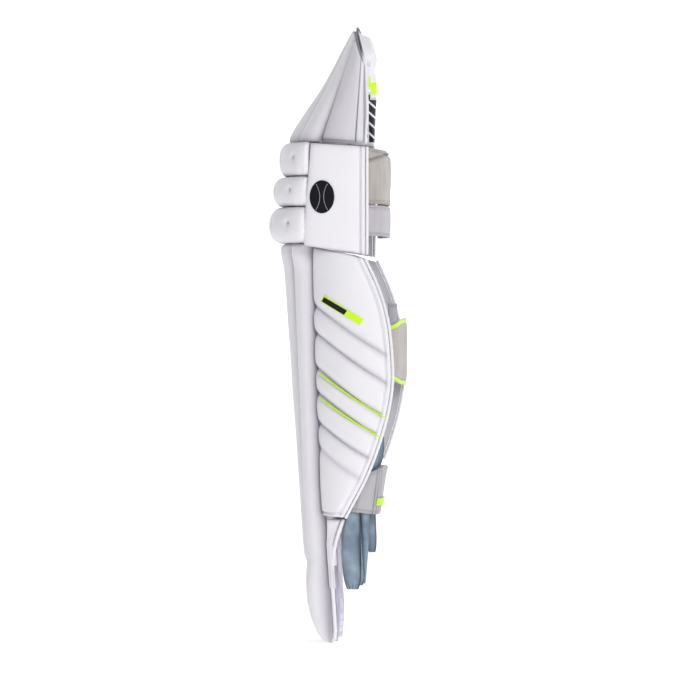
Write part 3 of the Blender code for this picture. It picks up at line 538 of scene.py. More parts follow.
# %% Fabrics
def nylon(name, deep, mid, light):
    """Slate twill: the deep colour as painted shade in the creases, the light colour in random patches as a
    painted sheen, with slanted ribs 0.9 mm apart as a bump.
    """
    finish = Finish(name, 0.62, Sheen_Weight=0.35, Sheen_Roughness=0.4, Specular_IOR_Level=0.35)
    x, y, z = finish.heights()
    crease = finish.crease()
    drift = finish.noise(34.0, 3.0)
    # Painted sheen: noise mixes in the light colour in random patches. Painted shade: the crease value mixes
    # in the deep colour.
    crown = finish.mix((drift * 1.6 - 0.3).clip(), mid, light)
    cloth_with_crease_shade = finish.mix((crease * 1.1).clip(), crown, deep)
    ribs = ((x + y + z * 0.7) * (2 * math.pi / 0.0009)).sine()
    threads = ((x - y + z * 1.3) * (2 * math.pi / 0.0006)).sine()
    woven = finish.bump(ribs + threads * 0.5, 0.2, 0.0002)
    soft = finish.bump(drift, 0.2, 0.002, woven)
    return finish.paint(Base_Color=cloth_with_crease_shade, Roughness=0.56 + drift * 0.16, Normal=soft)


def spacer_mesh(name, colour, hole_and_crease_shade):
    """Knitted mesh: a slanted lattice of round holes 2.4 mm apart, dark and sunk, in a pale knit that darkens
    as painted shade in its creases.
    """
    finish = Finish(name, 0.8, Sheen_Weight=0.2)
    x, y, z = finish.heights()
    pitch = 2 * math.pi / 0.0024
    lattice = ((z + y * 0.6 + x * 0.3) * pitch).sine() * ((z - y * 0.9 - x * 0.7) * pitch).sine()
    holes = ((lattice - 0.45) * 5.0).clip()
    knit = finish.noise(1400.0, 2.0)
    # Painted shade: the crease value, with a little random knit tone, mixes the knit towards the dark colour
    # of the holes.
    base = finish.mix((finish.crease() + (knit - 0.5) * 0.2).clip(), colour, hole_and_crease_shade)
    pierced = finish.mix(holes * 0.6, base, hole_and_crease_shade)
    sunk = finish.bump(knit * 0.4 - holes, 0.5, 0.0004)
    return finish.paint(Base_Color=pierced, Roughness=0.75 + holes * 0.15, Normal=sunk)


def ribbed(name, colour, shade, pitch, roughness=0.7, across=True):
    """Webbing or elastic: ribs along the band from its own cloth map, with painted shade between the ribs and
    in the creases.
    """
    finish = Finish(name, roughness, Sheen_Weight=0.15)
    u, v = finish.cloth()
    line = ((v if across else u) * (2 * math.pi / pitch)).sine() * 0.5 + 0.5
    weave = ((u if across else v) * (2 * math.pi / 0.0011)).sine()
    drift = finish.noise(60.0, 3.0)
    # Painted shade in the creases and between the ribs, with random tone from noise.
    dull = (finish.crease() + (1 - line) * 0.22 + (drift - 0.5) * 0.3).clip()
    woven = finish.bump(line + weave * 0.2, 0.4, 0.0004)
    skin = finish.mix(dull, colour, shade)
    return finish.paint(Base_Color=skin, Roughness=roughness + drift * 0.1, Normal=woven)


lining_cloth = nylon("lining nylon", (0.014, 0.025, 0.05), (0.085, 0.135, 0.21), (0.4, 0.51, 0.58))
mesh_cloth = spacer_mesh("spacer mesh", (0.74, 0.72, 0.83), (0.36, 0.34, 0.45))
webbing = ribbed("webbing", (0.7, 0.68, 0.735), (0.46, 0.44, 0.5), 0.0021)
elastic = ribbed("grey elastic", (0.36, 0.355, 0.39), (0.16, 0.155, 0.18), 0.0016)
print("fabrics:", lining_cloth.name, mesh_cloth.name, webbing.name, elastic.name)

# %% [markdown]
# Small things need their own finish too: yellow-green piping, black prints, thread, and the hook and loop
# tapes, whose pile is a rough field of tiny cells. Inside, canes have a grain along their length, foam
# has pores, and the boards are a speckled pressed sheet.

# %% Trims and inner pieces
def trim(name, colour, shade, roughness, scale, strength, specular=0.4):
    """A plain coated trim: its colour drifts a little, takes painted shade in creases, and has a fine uneven
    surface.
    """
    finish = Finish(name, roughness, Specular_IOR_Level=specular)
    drift = finish.noise(90.0, 3.0)
    # Painted shade in the creases, with random tone from noise.
    dull = (finish.crease() + (drift - 0.5) * 0.4).clip()
    grain = finish.bump(finish.cells(scale), strength, 0.0003)
    return finish.paint(
        Base_Color=finish.mix(dull, colour, shade), Roughness=roughness + (drift - 0.5) * 0.2, Normal=grain
    )


def streaked(name, light, dark, roughness, stretch):
    """Grain along the height: noise drawn out by a Mapping node, as light and dark streaks."""
    finish = Finish(name, roughness)
    drawn = finish.node("ShaderNodeMapping", {}, Vector=finish.objects(), Scale=(1.0, 1.0, stretch))
    streak = finish.noise(500.0, 4.0, drawn)
    skin = finish.mix(((streak - 0.35) * 2.5).clip(), dark, light)
    return finish.paint(Base_Color=skin, Normal=finish.bump(streak, 0.3, 0.0003))


neon = trim("neon piping", (0.62, 0.93, 0.03), (0.4, 0.6, 0.02), 0.42, 1200.0, 0.1)
black = trim("black print", (0.008, 0.008, 0.011), (0.004, 0.004, 0.005), 0.6, 1500.0, 0.12, 0.12)
thread = trim("white thread", (0.66, 0.64, 0.7), (0.4, 0.38, 0.44), 0.6, 3000.0, 0.3)
grey_thread = trim("grey thread", (0.36, 0.34, 0.4), (0.25, 0.24, 0.28), 0.6, 3000.0, 0.3)
hook_tape = trim("hook tape", (0.55, 0.54, 0.58), (0.25, 0.25, 0.28), 0.9, 900.0, 0.9, 0.1)
foam = trim("foam", (0.8, 0.76, 0.62), (0.6, 0.55, 0.42), 0.95, 700.0, 0.8, 0.1)
board = trim("pressed board", (0.62, 0.6, 0.62), (0.5, 0.48, 0.5), 0.75, 400.0, 0.3, 0.2)
cane = streaked("cane", (0.62, 0.45, 0.22), (0.36, 0.22, 0.08), 0.45, 0.04)
print("trims:", len(bpy.data.materials), "materials in all")


# %% [markdown]
# ## Putting pieces in the frame
#
# Each finished piece rides on the body that carries it, or, if it bends, is baked where it stands, and the
# plain CAD solids it stands for are hidden. One helper does both.

# %% Fitting a piece
def fit(piece, body, nodes, bend=None):
    """Puts a piece on its body and hides the CAD solids it stands for.

    A piece sewn to one body and carried by the next is put on no body: its place is baked into its mesh where
    it stands."""
    if nodes:
        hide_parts(*nodes)
    if bend:
        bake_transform(piece)
    else:
        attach(piece, body)
    box = np.array([v.co for v in piece.data.vertices]) / MM
    print(piece.name, len(piece.data.polygons), "faces,", box.min(0).round(1), "to", box.max(0).round(1))
    return piece


# %% [markdown]
# ## The shin
#
# A shin board is wrapped round the leg on an arc, and everything on the shin is placed by three numbers:
# an angle round that arc, a distance out from the board, and a height. The arc leans back towards the
# ankle and its seams draw together, so the angle of a seam is a smooth function of height.

# %% The shin's arc
TOP, CUFF, ARCH, LOBE = -76.0, -66.6, -464.0, -552.0
GAP, LEATHER, BOARD = 0.5, 2.0, 5.0
seam_angle = smooth((-552, 41), (-404, 40.5), (-196, 44), (-74, 50))
arch_angle = smooth((-552, 27), (-500, 22.5), (-455, 20))
lobe_swell = smooth((-500, 8), (-475, 6), (-450, 0))
side_swell = smooth(
    (-552, 0), (-530, 1), (-490, 2), (-450, 4), (-400, 3),
    (-325, 1.5), (-250, -1), (-180, -2.5), (-100, -4.5), (-68, -4.5)
)
shoulder = smooth((-104, 0), (-97, 0), (-88, 1.2), (-79, 2.4), (-68, 1.8))


def bolster_depth(z):
    return 22.0 + 0.0155 * (z + 74.0)


def shin_radius(z):
    return 65.0 - 0.02 * (z + 74.0)


def shin_point(angle, out, z):
    """On the arc: radius + out from an axis that lies one radius behind the board's front, at the angle."""
    reach = shin_radius(z) + out
    axis = -52.7 - 0.0706 * (z + 74.0) + bolster_depth(z) + shin_radius(z)
    turn = np.radians(angle)
    return place(reach * np.sin(turn), axis - reach * np.cos(turn), z)


def foot_levels(top, foot, radius, count, rounds=18):
    """Heights from top to foot, evenly spaced, then closing in on the foot as the sine of an angle does."""
    straight = np.linspace(top, foot + radius, count)
    return np.concatenate([straight, foot + radius * (1 - np.sin(np.radians(np.linspace(5, 88, rounds))))])


def foot_round(z, foot, radius):
    return rounded(np.clip((foot + radius - z) / radius, 0, 1))


# %% [markdown]
# A shin bolster is a long bag of leather over foam and cane. Its front is crowned, its back lies flat on
# the board, and the leather gathers a little beside the seams that hold it down. It could be a bent
# cylinder, but then its seams would be round. Here the front is a rounded hump between two seams, worked
# out at each height.

# %% The three shin bolsters
def bolster(z, first, last, depth, seed):
    """Rings: out = 2.5 + (depth - 2) x a rounded hump of w, with w from seam to seam, less the gathers."""
    z, first, last, depth = (np.broadcast_to(v, z.shape)[:, None] for v in (z, first, last, depth))
    middle, half = (first + last) / 2, (last - first) / 2 - 0.35
    w = np.sin(np.radians(np.linspace(-90, 90, 45)))[None]
    closing = 0.6 + 0.4 * np.sqrt(1 - (1 - np.clip((CUFF - z + 0.4) / 5, 0, 1)) ** 2)
    full_depth = (depth - LEATHER + shoulder(z) * np.minimum(depth / 12, 1)) * closing
    out = GAP + LEATHER + full_depth * rounded(w, 2.3)
    front = shin_point(middle + half * w, out, z + 0 * w)
    beside = (1 - np.abs(w)) * half * 1.2
    gather = 0.32 * puckers(z + 0 * w, beside, seed) * rounded(w, 2)
    ease = 0.3 * ripples(w * half * 1.1, z + 0 * w, seed + 1, 120.0, 40.0)
    # Painted shade: the leather darkens beside the seams, and the back against the board carries 0.6.
    front = pushed(front, (gather + ease) * np.minimum(depth / 12, 1), 0.9 * np.exp(-beside / 2.2))
    back = shin_point(middle + half * np.linspace(0.9, -0.9, 7), GAP, z + np.zeros(7))
    return np.concatenate([front, with_crease_shade(back, 0.6)], axis=1)


def cuff_levels(foot, radius, count, rounds=18):
    """Levels that are also close together in the first 24 mm, where the bolsters swell under the knee."""
    start = CUFF - 24.0
    cuff = np.linspace(CUFF, start, 24)[:-1]
    return np.concatenate([cuff, foot_levels(start, foot, radius, count, rounds)])


def centre_bolster():
    z = cuff_levels(ARCH, 22.0, 170)
    closing = foot_round(z, ARCH, 22.0)
    half = 19.0 * (0.55 + 0.45 * closing)
    return bolster(z, -half, half, LEATHER + (bolster_depth(z) - LEATHER) * closing, 3)


def side_bolster(seed):
    """The outer bolster runs on past the arch as a tapering lobe beside the instep."""
    z = cuff_levels(LOBE, 56.0, 180, 26)
    closing = foot_round(z, LOBE, 56.0)
    first, last = np.maximum(19.6, arch_angle(z)), seam_angle(z)
    squeeze = (last - first) * 0.22 * (1 - closing)
    depth = LEATHER + (bolster_depth(z) + lobe_swell(z) + side_swell(z) - LEATHER) * closing
    return bolster(z, first + squeeze, last - squeeze, depth, seed)


pieces = {
    "centre": centre_bolster(),
    "outer": side_bolster(11),
    "inner": mirrored(side_bolster(17)),
}
for name, rings in pieces.items():
    fit(loft(f"shin_leather_{name}", rings, white), "shin", [f"shin_bolster_{name}"])

# %% [markdown]
# ## The calf wing
#
# The wing is one soft panel that swings round the side of the calf. Its plan is a Bezier curve from the
# seam beside the last bolster to the rear edge, and its rear edge bows out over the calf. The quilting is
# what the eye catches: slanted lines are stitched through the foam, which stands proud between them. So
# the depth at a point is the panel's full depth times 1 - a x exp(-s / r) for each line, where s is how
# far away that line is.

# %% The wing's shape
rear_y = smooth(
    (-399, 25), (-345, 53), (-305, 68), (-275, 76.5), (-240, 82.5),
    (-200, 82), (-150, 75), (-118, 64.5), (-85, 49.5)
)
rear_x = smooth((-399, 63), (-345, 70), (-300, 75), (-240, 78), (-200, 79), (-85, 82))
WING_TOP, WING_FOOT, WING_DEPTH = (-70.8, -86.2), (-397.0, -399.0), 14.0
INNER_REACH = 5.5
# Quilting lines in the side view: where each starts and ends (y, z), its sag, its depth, its softness
QUILTING = (
    ((-12, -143.5), (82, -203.5), 3.0, 0.75, 4.5),
    ((-11, -176.5), (85, -239), 3.0, 0.8, 4.0),
    ((-10, -218.5), (81, -278.5), 4.0, 0.85, 4.0),
    ((-8, -249.5), (72, -300.5), 3.5, 0.85, 4.0),
    ((-7, -286), (58, -327), 3.0, 0.8, 4.0),
    ((-6, -316), (47, -352), 3.0, 0.5, 6.5),
)


def curve(p0, p1, p2, p3, t):
    """A cubic Bezier and its slope, with t as the grid's columns."""
    s = 1 - t
    spot = s**3 * p0 + 3 * s * s * t * p1 + 3 * s * t * t * p2 + t**3 * p3
    return spot, 3 * s * s * (p1 - p0) + 6 * s * t * (p2 - p1) + 3 * t * t * (p3 - p2)


def outward(slope):
    side_ = np.stack([slope[..., 1], -slope[..., 0], 0 * slope[..., 0]], axis=-1)
    return side_ / np.linalg.norm(side_, axis=-1, keepdims=True)


def wing_inside(t, z, reach_on=0.0):
    """The wing's inner face and its outward side, for t from seam to rear edge."""
    t, z = np.broadcast_arrays(t, z)
    seam = shin_point(seam_angle(z) + 1.6, 1.0, z)
    rear = place(rear_x(z), rear_y(z) + reach_on, z)
    reach = np.linalg.norm(rear - seam, axis=-1, keepdims=True)
    near = seam + np.array([0.74, 0.67, 0.0]) * reach * 0.36
    far = rear - np.array([-0.12, 0.99, 0.0]) * reach * 0.4
    spot, slope = curve(seam, near, far, rear, t[..., None])
    return spot, outward(slope)


def panel_depth(t, level, depth):
    """Thin at the bound edges and full between: 4 mm plus the rest times two rounded humps."""
    return LEATHER + 2.0 + (depth - LEATHER - 2.0) * rounded(2 * t - 1, 5) * rounded(2 * level - 1, 8)


def quilting(y, z):
    """How much of the depth is left at (y, z), and how near a quilting line it lies, from 0 to 1."""
    left, near = np.ones(np.shape(y)), np.zeros(np.shape(y))
    for (y0, z0), (y1, z1), sag, deep, soft in QUILTING:
        t = (y - y0) / (y1 - y0)
        slant = math.hypot(1, (z1 - z0) / (y1 - y0))
        gap = np.abs(z - (z0 + (z1 - z0) * t - 4 * sag * t * (1 - t))) / slant
        left = left * (1 - deep * np.exp(-((gap / soft) ** 1.25)))
        near = np.maximum(near, deep * np.exp(-((gap / (soft * 0.5)) ** 1.4)))
    return left, near


def wing_outside(t, z, out=0.0, quilted=False):
    spot, side_ = wing_inside(t, z)
    level = (z - WING_FOOT[0]) / (WING_TOP[0] - WING_FOOT[0])
    deep = panel_depth(t, level, WING_DEPTH)
    if quilted:
        deep = LEATHER + 1.5 + (deep - LEATHER - 1.5) * quilting(spot[..., 1], z)[0]
    return spot + side_ * np.expand_dims(deep + out, -1)


def wing_at(y, z, out=0.0, quilted=False):
    """The outer face at a given y: t is found by halving, 26 times, all points at once."""
    low, high = np.full(np.shape(y), 0.08), np.ones(np.shape(y))
    for _ in range(26):
        half = (low + high) / 2
        before = wing_outside(half, z)[..., 1] < y
        low, high = np.where(before, half, low), np.where(before, high, half)
    return wing_outside(low, z, out, quilted)


# %% [markdown]
# Near the rear edge a row of stitches flattens the panel into a narrow band. The leather also pulls
# into small gathers beside every line of quilting. The inner face is lined with the same white leather
# and stays nearly smooth, since the foam pushes the other way.

# %% The two calf wings
def wing_panel(seed, reach_on=0.0):
    t = np.sin(np.linspace(0, np.pi / 2, 66))[None] ** 1.15
    k = ((1 - np.cos(np.linspace(0, np.pi, 220))) / 2 * 0.35 + np.linspace(0, 1, 220) * 0.65)[:, None]
    top = WING_TOP[0] - 11.2 * t - (2.9 if reach_on == 0 else 4.2) * step_up(t, 0.65, 1)
    foot = WING_FOOT[0] + (WING_FOOT[1] - WING_FOOT[0]) * t
    z = top + (foot - top) * k
    spot, side_ = wing_inside(t, z, reach_on)
    deep = panel_depth(t, 1 - k, WING_DEPTH)
    width = np.linalg.norm(spot[:, -1:] - spot[:, :1], axis=-1) * 1.06
    from_rear, from_front = (1 - t) * width, t * width
    band = step_up(from_rear, 2.5, 6.5)
    left, near = quilting(spot[..., 1] + side_[..., 1] * deep, z)
    left, near = 1 - (1 - left) * band, near * band
    seam = 0.45 * np.exp(-(((from_rear - 4.6) / 1.4) ** 2))
    hem = 0.6 * np.exp(-(((z - foot - 4.5) / 1.5) ** 2))
    deep = 3.5 + (deep - 3.5) * left * (0.55 + 0.45 * band) * (1 - seam) * (1 - hem * 0.6)
    deep = deep * (1 - 0.35 * np.exp(-from_front / 2.5))
    gather = 0.28 * near * puckers(spot[..., 1], 0 * z, seed, 7.0)
    ease = 0.45 * ripples(spot[..., 1], z, seed + 1, 90.0, 30.0) * left
    front = spot + side_ * (deep + (gather + ease) * band)[..., None]
    # Painted shade beside the quilting lines, along the rear seam and the hem, and at the front edge; the
    # back carries 0.25.
    crease = np.clip(near * 0.85 + seam * 0.5 + hem * 0.35 + 0.9 * np.exp(-from_front / 2.2), 0, 1)
    inside = rounded(2 * t - 1, 6) * rounded(2 * k - 1, 6)
    lined = 0.5 * ripples(spot[..., 1], z, seed + 5, 70.0, 24.0) * inside
    back = spot + side_ * (0.6 * rounded(2 * t - 1, 6) + lined * 0.6)[..., None]
    number = lambda v: np.broadcast_to(v, z.shape)[..., None]
    return np.concatenate([front, number(crease)], -1), np.concatenate([back, number(0.25)], -1)


CALF_BEND = ("shin", "calf_wing", (0.052, -0.008, -0.236), (0.0705, 0.0135, -0.236))
faces = wing_panel(5)
piece = pad("calf_leather_outer", *faces, white)
fit(piece, "calf_wing", ["calf_wing_outer"], CALF_BEND)
faces = [mirrored(face) for face in wing_panel(9, INNER_REACH)]
fit(pad("calf_leather_inner", *faces, white), "shin", ["calf_wing_inner"])

# %% [markdown]
# Piping is a strip of leather folded over a cord and caught in the seam. It follows the wing's rear edge,
# and two yellow-green runs lie at the bottom of two quilting lines, where they show as bright threads.

# %% Piping and stitching on the wings
heights = np.linspace(WING_TOP[1] - 1, WING_FOOT[1] + 1, 150)
rim, rim_side = wing_inside(np.ones(150), heights)
slope = np.gradient(rear_y(heights), heights)
away = place(0, 1, -slope)
away /= np.linalg.norm(away, axis=1, keepdims=True)
edge = rim + rim_side * 2.0 + away * 2.6
twist = 1.9 + 0.12 * np.sin(np.arange(150) * 1.7)
cord = loft("wing_piping", tube(edge, twist, 12, (1, 0, 0)), white)
fit(cord, "calf_wing", ["calf_wing_binding"])
above = heights > -330
further = edge[above] + np.array([0, INNER_REACH, 0])
loose = loft("wing_piping_inner", mirrored(tube(further, twist[above], 12, (1, 0, 0))), white)
fit(loose, "shin", [])

for name, number in (("upper", 2), ("lower", 3)):
    (y0, z0), (y1, z1), sag = QUILTING[number][:3]
    t = np.linspace((-4.5 - y0) / (y1 - y0), 0.98, 90)
    y, z = y0 + (y1 - y0) * t, z0 + (z1 - z0) * t - 4 * sag * t * (1 - t)
    run = wing_at(y, z - 0.6, 1.4, quilted=True)
    cord = loft(f"wing_neon_{name}", tube(run, 1.0, 10, (1, 0, 0)), neon)
    fit(cord, "calf_wing", [f"calf_wing_piping_{name}"], bend=CALF_BEND)


def wing_rows(distance):
    """A line that keeps this distance in from the rear edge, and the outward side along it."""
    z = np.linspace(WING_TOP[1] - 4, WING_FOOT[1] + 5, 120)
    ends = [wing_inside(np.full(120, t), z)[0] for t in (0.0, 1.0)]
    width = np.linalg.norm(ends[1] - ends[0], axis=1) * 1.06
    t = 1 - distance / width
    spot, side_ = wing_inside(t, z)
    level = (z - WING_FOOT[0]) / (WING_TOP[0] - WING_FOOT[0])
    deep = 3.5 + (panel_depth(t, level, WING_DEPTH) - 3.5) * 0.55
    return spot + side_ * (deep * 0.82 + 0.4)[:, None], side_


rows = [stitch_row(*wing_rows(4.6))]
t = np.linspace(0.1, 0.93, 60)
hem_spot, hem_side = wing_inside(t, np.full(60, WING_FOOT[0] + 4.0))
hem = hem_spot + hem_side * (3.5 + (panel_depth(t, np.full(60, 0.0125), WING_DEPTH) - 3.5) * 0.62)[:, None]
rows.append(stitch_row(hem, hem_side))
stitches("calf_wing_thread", rows, thread, "calf_wing", CALF_BEND)
shifted = [mirrored(row + np.array([0, INNER_REACH, 0])) for row in rows[:1]]
stitches("calf_wing_thread_inner", shifted, thread, "shin")

# %% [markdown]
# A label is printed on a strip of film and sewn on the slant. Here it is plain: a black block and a
# yellow-green end. Its finish changes along its own cloth map, so one strip carries both colours.

# %% The slanted label
def label_finish():
    """Black up to two thirds of its length, then yellow-green, with a narrow yellow-green rim."""
    finish = Finish("label print", 0.55, Specular_IOR_Level=0.15)
    u, v = finish.cloth()
    colour = finish.mix(u > 0.0372, (0.012, 0.012, 0.014), (0.62, 0.93, 0.03))
    rim = (((v - 0.0042).size() > 0.0034) + (u < 0.0012)).clip()
    weave = finish.cells(1600.0)
    return finish.paint(
        Base_Color=finish.mix(rim, colour, (0.62, 0.93, 0.03)), Normal=finish.bump(weave, 0.1, 0.0002)
    )


def label_face(lift, spread=1.0):
    slant = math.radians(-31)
    along, across = np.linspace(-28, 28, 60)[None] * spread, np.linspace(-4.2, 4.2, 14)[:, None] * spread
    y = 25 + along * math.cos(slant) - across * math.sin(slant)
    z = -148 + along * math.sin(slant) + across * math.cos(slant)
    return wing_at(y, z, lift, quilted=True)


piece = pad("wing_label", label_face(1.3), label_face(0.4), label_finish())
fit(piece, "calf_wing", ["calf_wing_label"], bend=CALF_BEND)


# %% [markdown]
# ## The instep
#
# Below the wing a flat facing of leather closes the side, and behind each lobe sits a thin pad of spacer
# mesh, so the pad can rest on the shoe. The pad is a flat-backed cushion, like a bolster turned to face
# the foot.

# %% Facings and mesh pads
facing_rear = smooth((-488, 4.5), (-458, 7.0), (-437, 10.5), (-417, 15.5), (-402, 21.0))


def facing_point(t, z, out):
    """From the bolster's seam at t = 0 straight back to the instep piping at t = 1, moved out by out."""
    t, z, out = np.broadcast_arrays(t, z, out)
    seam = shin_point(seam_angle(z) + 1.4, 1.0, z)
    run = place(seam[..., 0] + 5.0, np.maximum(facing_rear(z), seam[..., 1] + 5.0), z) - seam
    return seam + run * t[..., None] + outward(run) * out[..., None]


def facing(seed):
    z, t = np.linspace(-401.5, -486.0, 100)[:, None], np.linspace(0, 1, 30)[None]
    k = (z + 401.5) / -84.5
    crown = 2.2 + 2.6 * rounded(2 * t - 1, 4) * rounded(2 * k - 1, 8)
    ease = 0.35 * ripples(30 * t, z + 0 * t, seed, 50.0, 20.0)
    front = facing_point(t, z, crown + ease * rounded(2 * t - 1, 3))
    # Painted shade along both edges of the facing and at its top.
    crease = 0.5 * np.exp(-30 * np.minimum(t, 1 - t) / 2) + 0.3 * np.exp(-k * 40)
    crease = np.broadcast_to(crease, front.shape[:2])
    return with_crease_shade(front, crease), facing_point(t, z, 0.0)


def instep_rings(seed):
    """Rings: 6 mm behind the board's front, then in by 2 mm and a rounded hump, narrower towards the foot."""
    foot, radius = LOBE + 2.0, 46.0
    z = foot_levels(-412.0, foot, radius, 100, 22)[:, None]
    closing = foot_round(z, foot, radius) * (0.75 + 0.25 * step_up(-z, 412, 420))
    depth = 2.0 + (smooth((-552, 3.5), (-530, 7.5), (-480, 10), (-430, 11), (-412, 11))(z) - 2.0) * closing
    first, last = arch_angle(z) + 2.0, seam_angle(z) + 0.5
    middle, half = (first + last) / 2, (last - first) / 2 * (0.45 + 0.55 * closing)
    w = np.sin(np.radians(np.linspace(86, -86, 40)))[None]
    beside = (1 - np.abs(w)) * half * 1.1
    gather = 0.3 * puckers(z + 0 * w, beside, seed, 6.0) + 0.25 * ripples(beside, z + 0 * w, seed, 40.0, 14.0)
    inner = -7.0 - (depth - 2.0) * rounded(w, 3) + gather * rounded(w, 2)
    board_side = shin_point(middle + half * np.linspace(-1, 1, 9), BOARD * -1.0 - 1.0, z + np.zeros(9))
    leg_side = shin_point(middle + half * w, inner, z + 0 * w)
    # Painted shade beside the seams; the board side carries 0.4.
    crease = 0.75 * np.exp(-beside / 1.6)
    return np.concatenate([with_crease_shade(board_side, 0.4), with_crease_shade(leg_side, crease)], 1)


for name, seed, turned in (("outer", 21, np.array), ("inner", 22, mirrored)):
    faces = [turned(face) for face in facing(seed)]
    fit(pad(f"instep_leather_{name}", *faces, white), "shin", [f"instep_facing_{name}"])
    rings = turned(instep_rings(seed + 4))
    fit(loft(f"instep_mesh_{name}", rings, mesh_cloth), "shin", [f"instep_pad_{name}"])

# %% [markdown]
# The instep piping starts under the wing, runs down the facing's rear edge and goes on beside the lobe. A
# row of stitches holds the mesh to it, and a small bar of dark thread locks the lobe's tip.

# %% Instep piping and thread
piping_y = smooth(
    (-549, 3.5), (-541, 8), (-530, 10.4), (-505, 10.7), (-482, 10.3),
    (-458, 11.3), (-437, 13.8), (-417, 19), (-402, 24.5)
)
z = np.linspace(-402.5, -547.0, 110)
seam = shin_point(seam_angle(z) + 1.4, 1.0, z)
cord = place(seam[:, 0] + 4.6, np.maximum(piping_y(z), seam[:, 1] + 1.5 * step_up(z, -549, -535)), z)
for name, turned in (("outer", np.array), ("inner", mirrored)):
    rings = turned(tube(cord, 2.3, 14, (1, 0, 0)))
    fit(loft(f"instep_piping_{name}", rings, white), "shin", [f"instep_binding_{name}"])
    z = np.linspace(-418.0, -530.0, 90)
    row = shin_point(seam_angle(z) - 0.6, -7.2, z) + np.array([0.8, 0.5, 0.0])
    rows = [stitch_row(turned(row), turned(np.broadcast_to([0.9, 0.4, 0.0], row.shape)), 3.0, 2.0)]
    z = np.linspace(LOBE + 5.5, LOBE + 4.0, 5)
    tip = shin_point(np.linspace(34.0, 38.5, 5), 3.2, z)
    knot = stitch_row(turned(tip), turned(np.broadcast_to([0.5, -0.6, -0.6], tip.shape)), 1.2, 1.6, 0.7)
    stitches(f"instep_thread_{name}", rows, grey_thread, "shin")
    stitches(f"lobe_knot_{name}", [knot], grey_thread, "shin")

# %% [markdown]
# ## The lining
#
# Inside, the calf rests on upright tubes of nylon stuffed with soft foam. Each is an oval in plan that
# leans back as it goes down, and closes like a pillow at both ends, where the cloth gathers.

# %% The lining bolsters
LINERS = {
    "front": (14.5, 0.0, 13.6, 8.0, 5),
    "corner": (38.0, 13.5, 12.0, 8.0, 42),
    "side": (53.0, 33.0, 10.0, 7.5, 80),
    "back": (51.0, 51.0, 7.2, 6.5, 96),
}
LINER_FEET = {
    "front": (0.06, (-404.0, 24.0), (-404.0, 24.0)),
    "corner": (0.05, (-405.0, 24.0), (-405.0, 24.0)),
    "side": (0.02, (-487.0, 30.0), (-487.0, 30.0)),
    "back": (0.02, (-480.0, 44.0), (-446.0, 30.0)),
}


widening = smooth((-487, 1.22), (-425, 1.24), (-400, 1.0))
calf_bulge = smooth((-470, 0), (-392, -2.2), (-352, -1.8), (-336, 6), (-300, 9.5), (-268, 6), (-235, 0))
narrowing = smooth((-486, 0.2), (-463, 0.36), (-441, 0.56), (-410, 0.72), (-375, 1))


def liner(x, y, half_width, half_depth, turn, lean, foot, radius, seed, kind):
    """Rings: an oval turned to face the leg. It narrows in its last mm as a quarter circle does, at both
    ends."""
    z = foot_levels(-96.0, foot, radius, 130, 16)[:, None]
    top = 0.55 + 0.45 * np.sqrt(1 - (1 - np.clip((-96.0 - z) / 16, 0, 1)) ** 2)
    closing = foot_round(z, foot, radius) * top
    a = np.linspace(0, 2 * np.pi, 56, endpoint=False)[None]
    wide, deep = np.cos(a), np.sin(a)
    ends = np.exp(-(z - foot) / 16) + np.exp((z + 96) / 16)
    folds = 0.9 * ends * puckers(a * (half_width + half_depth) / 2, 0 * z, seed, 5.0)
    loose = 0.55 * ripples(a * half_width, z, seed, 60.0, 18.0)
    tuck = 0.35 * np.exp(-(((1 - np.abs(wide)) * half_width / 1.6) ** 2))
    size = closing * (1 + (folds * 0.35 + loose * 0.6) / half_depth - tuck * 0.18)
    along = np.array([math.cos(math.radians(turn)), math.sin(math.radians(turn)), 0.0])
    inwards = np.array([-along[1], along[0], 0.0])
    across = wide * half_width * (1 + 0.0002 * (z + 250)) * (0.5 + 0.5 * size)
    if kind == "narrow":
        across = (across + half_width) * narrowing(z) - half_width
    if kind == "wide":
        across = across * widening(z)
    bulge = calf_bulge(z) if y > 45 else -10.0 * (widening(z) - 1) * (kind == "wide")
    middle = place(x * (1 + 0.00045 * (z + 250)), y - lean * (z + 250) + bulge, z)
    rings = middle + along * across[..., None] + inwards * (deep * half_depth * size)[..., None]
    # Painted shade at the side seams, the gathered ends and the hollows of the ripples; their bulges get less
    # of it.
    seam = np.exp(-((1 - np.abs(wide)) * half_width / 1.5)) + 0.0 * z
    crease = np.clip(seam * 0.9 + 0.5 * ends * (0.5 + 0.5 * folds) - loose * 0.25, 0, 1)
    return with_crease_shade(rings, crease)


for number, (name, sizes) in enumerate(LINERS.items()):
    lean, *feet = LINER_FEET[name]
    for side_name, foot, turned in (("outer", feet[0], np.array), ("inner", feet[1], mirrored)):
        kind = {"side": "wide", "back": "narrow" if side_name == "outer" else ""}.get(name, "")
        rings = turned(liner(*sizes, lean, *foot, 31 + number, kind))
        node = f"liner_bolster_{name}_{side_name}"
        fit(loft(f"lining_{name}_{side_name}", rings, lining_cloth), "shin", [node])

# %% [markdown]
# ## The knee
#
# Three rolls lie across the kneecap, one above another. Each is a stuffed tube bent on an ellipse,
# D-shaped in section, and closed at the wings. Tufts pull its front in at four places, and the leather
# dimples round them.

# %% The knee rolls
ROLLS = {"top": (15.2, 56.0, -57.1), "middle": (-21.6, 14.4, -64.6), "bottom": (-66.0, -22.4, -69.6)}


def board_point(angle, z, out):
    """An ellipse in plan, 72 by 24 mm, moved outwards by out."""
    turn = np.radians(angle)
    return place((72 + out) * np.sin(turn), -10.6 - (24 + out) * np.cos(turn), z)


def roll_point(angle, radial, front, z):
    """From the knee board at radial 0 to the roll's own front ellipse at radial 1."""
    turn = np.radians(angle)
    near = board_point(angle, z, GAP)
    far = place(90 * np.sin(turn), -12.6 - (-12.6 - front) * np.cos(turn), z)
    return near + (far - near) * np.expand_dims(radial, -1)


ROLL_ENDS = {"top": 84.0, "middle": 82.6, "bottom": 80.4}


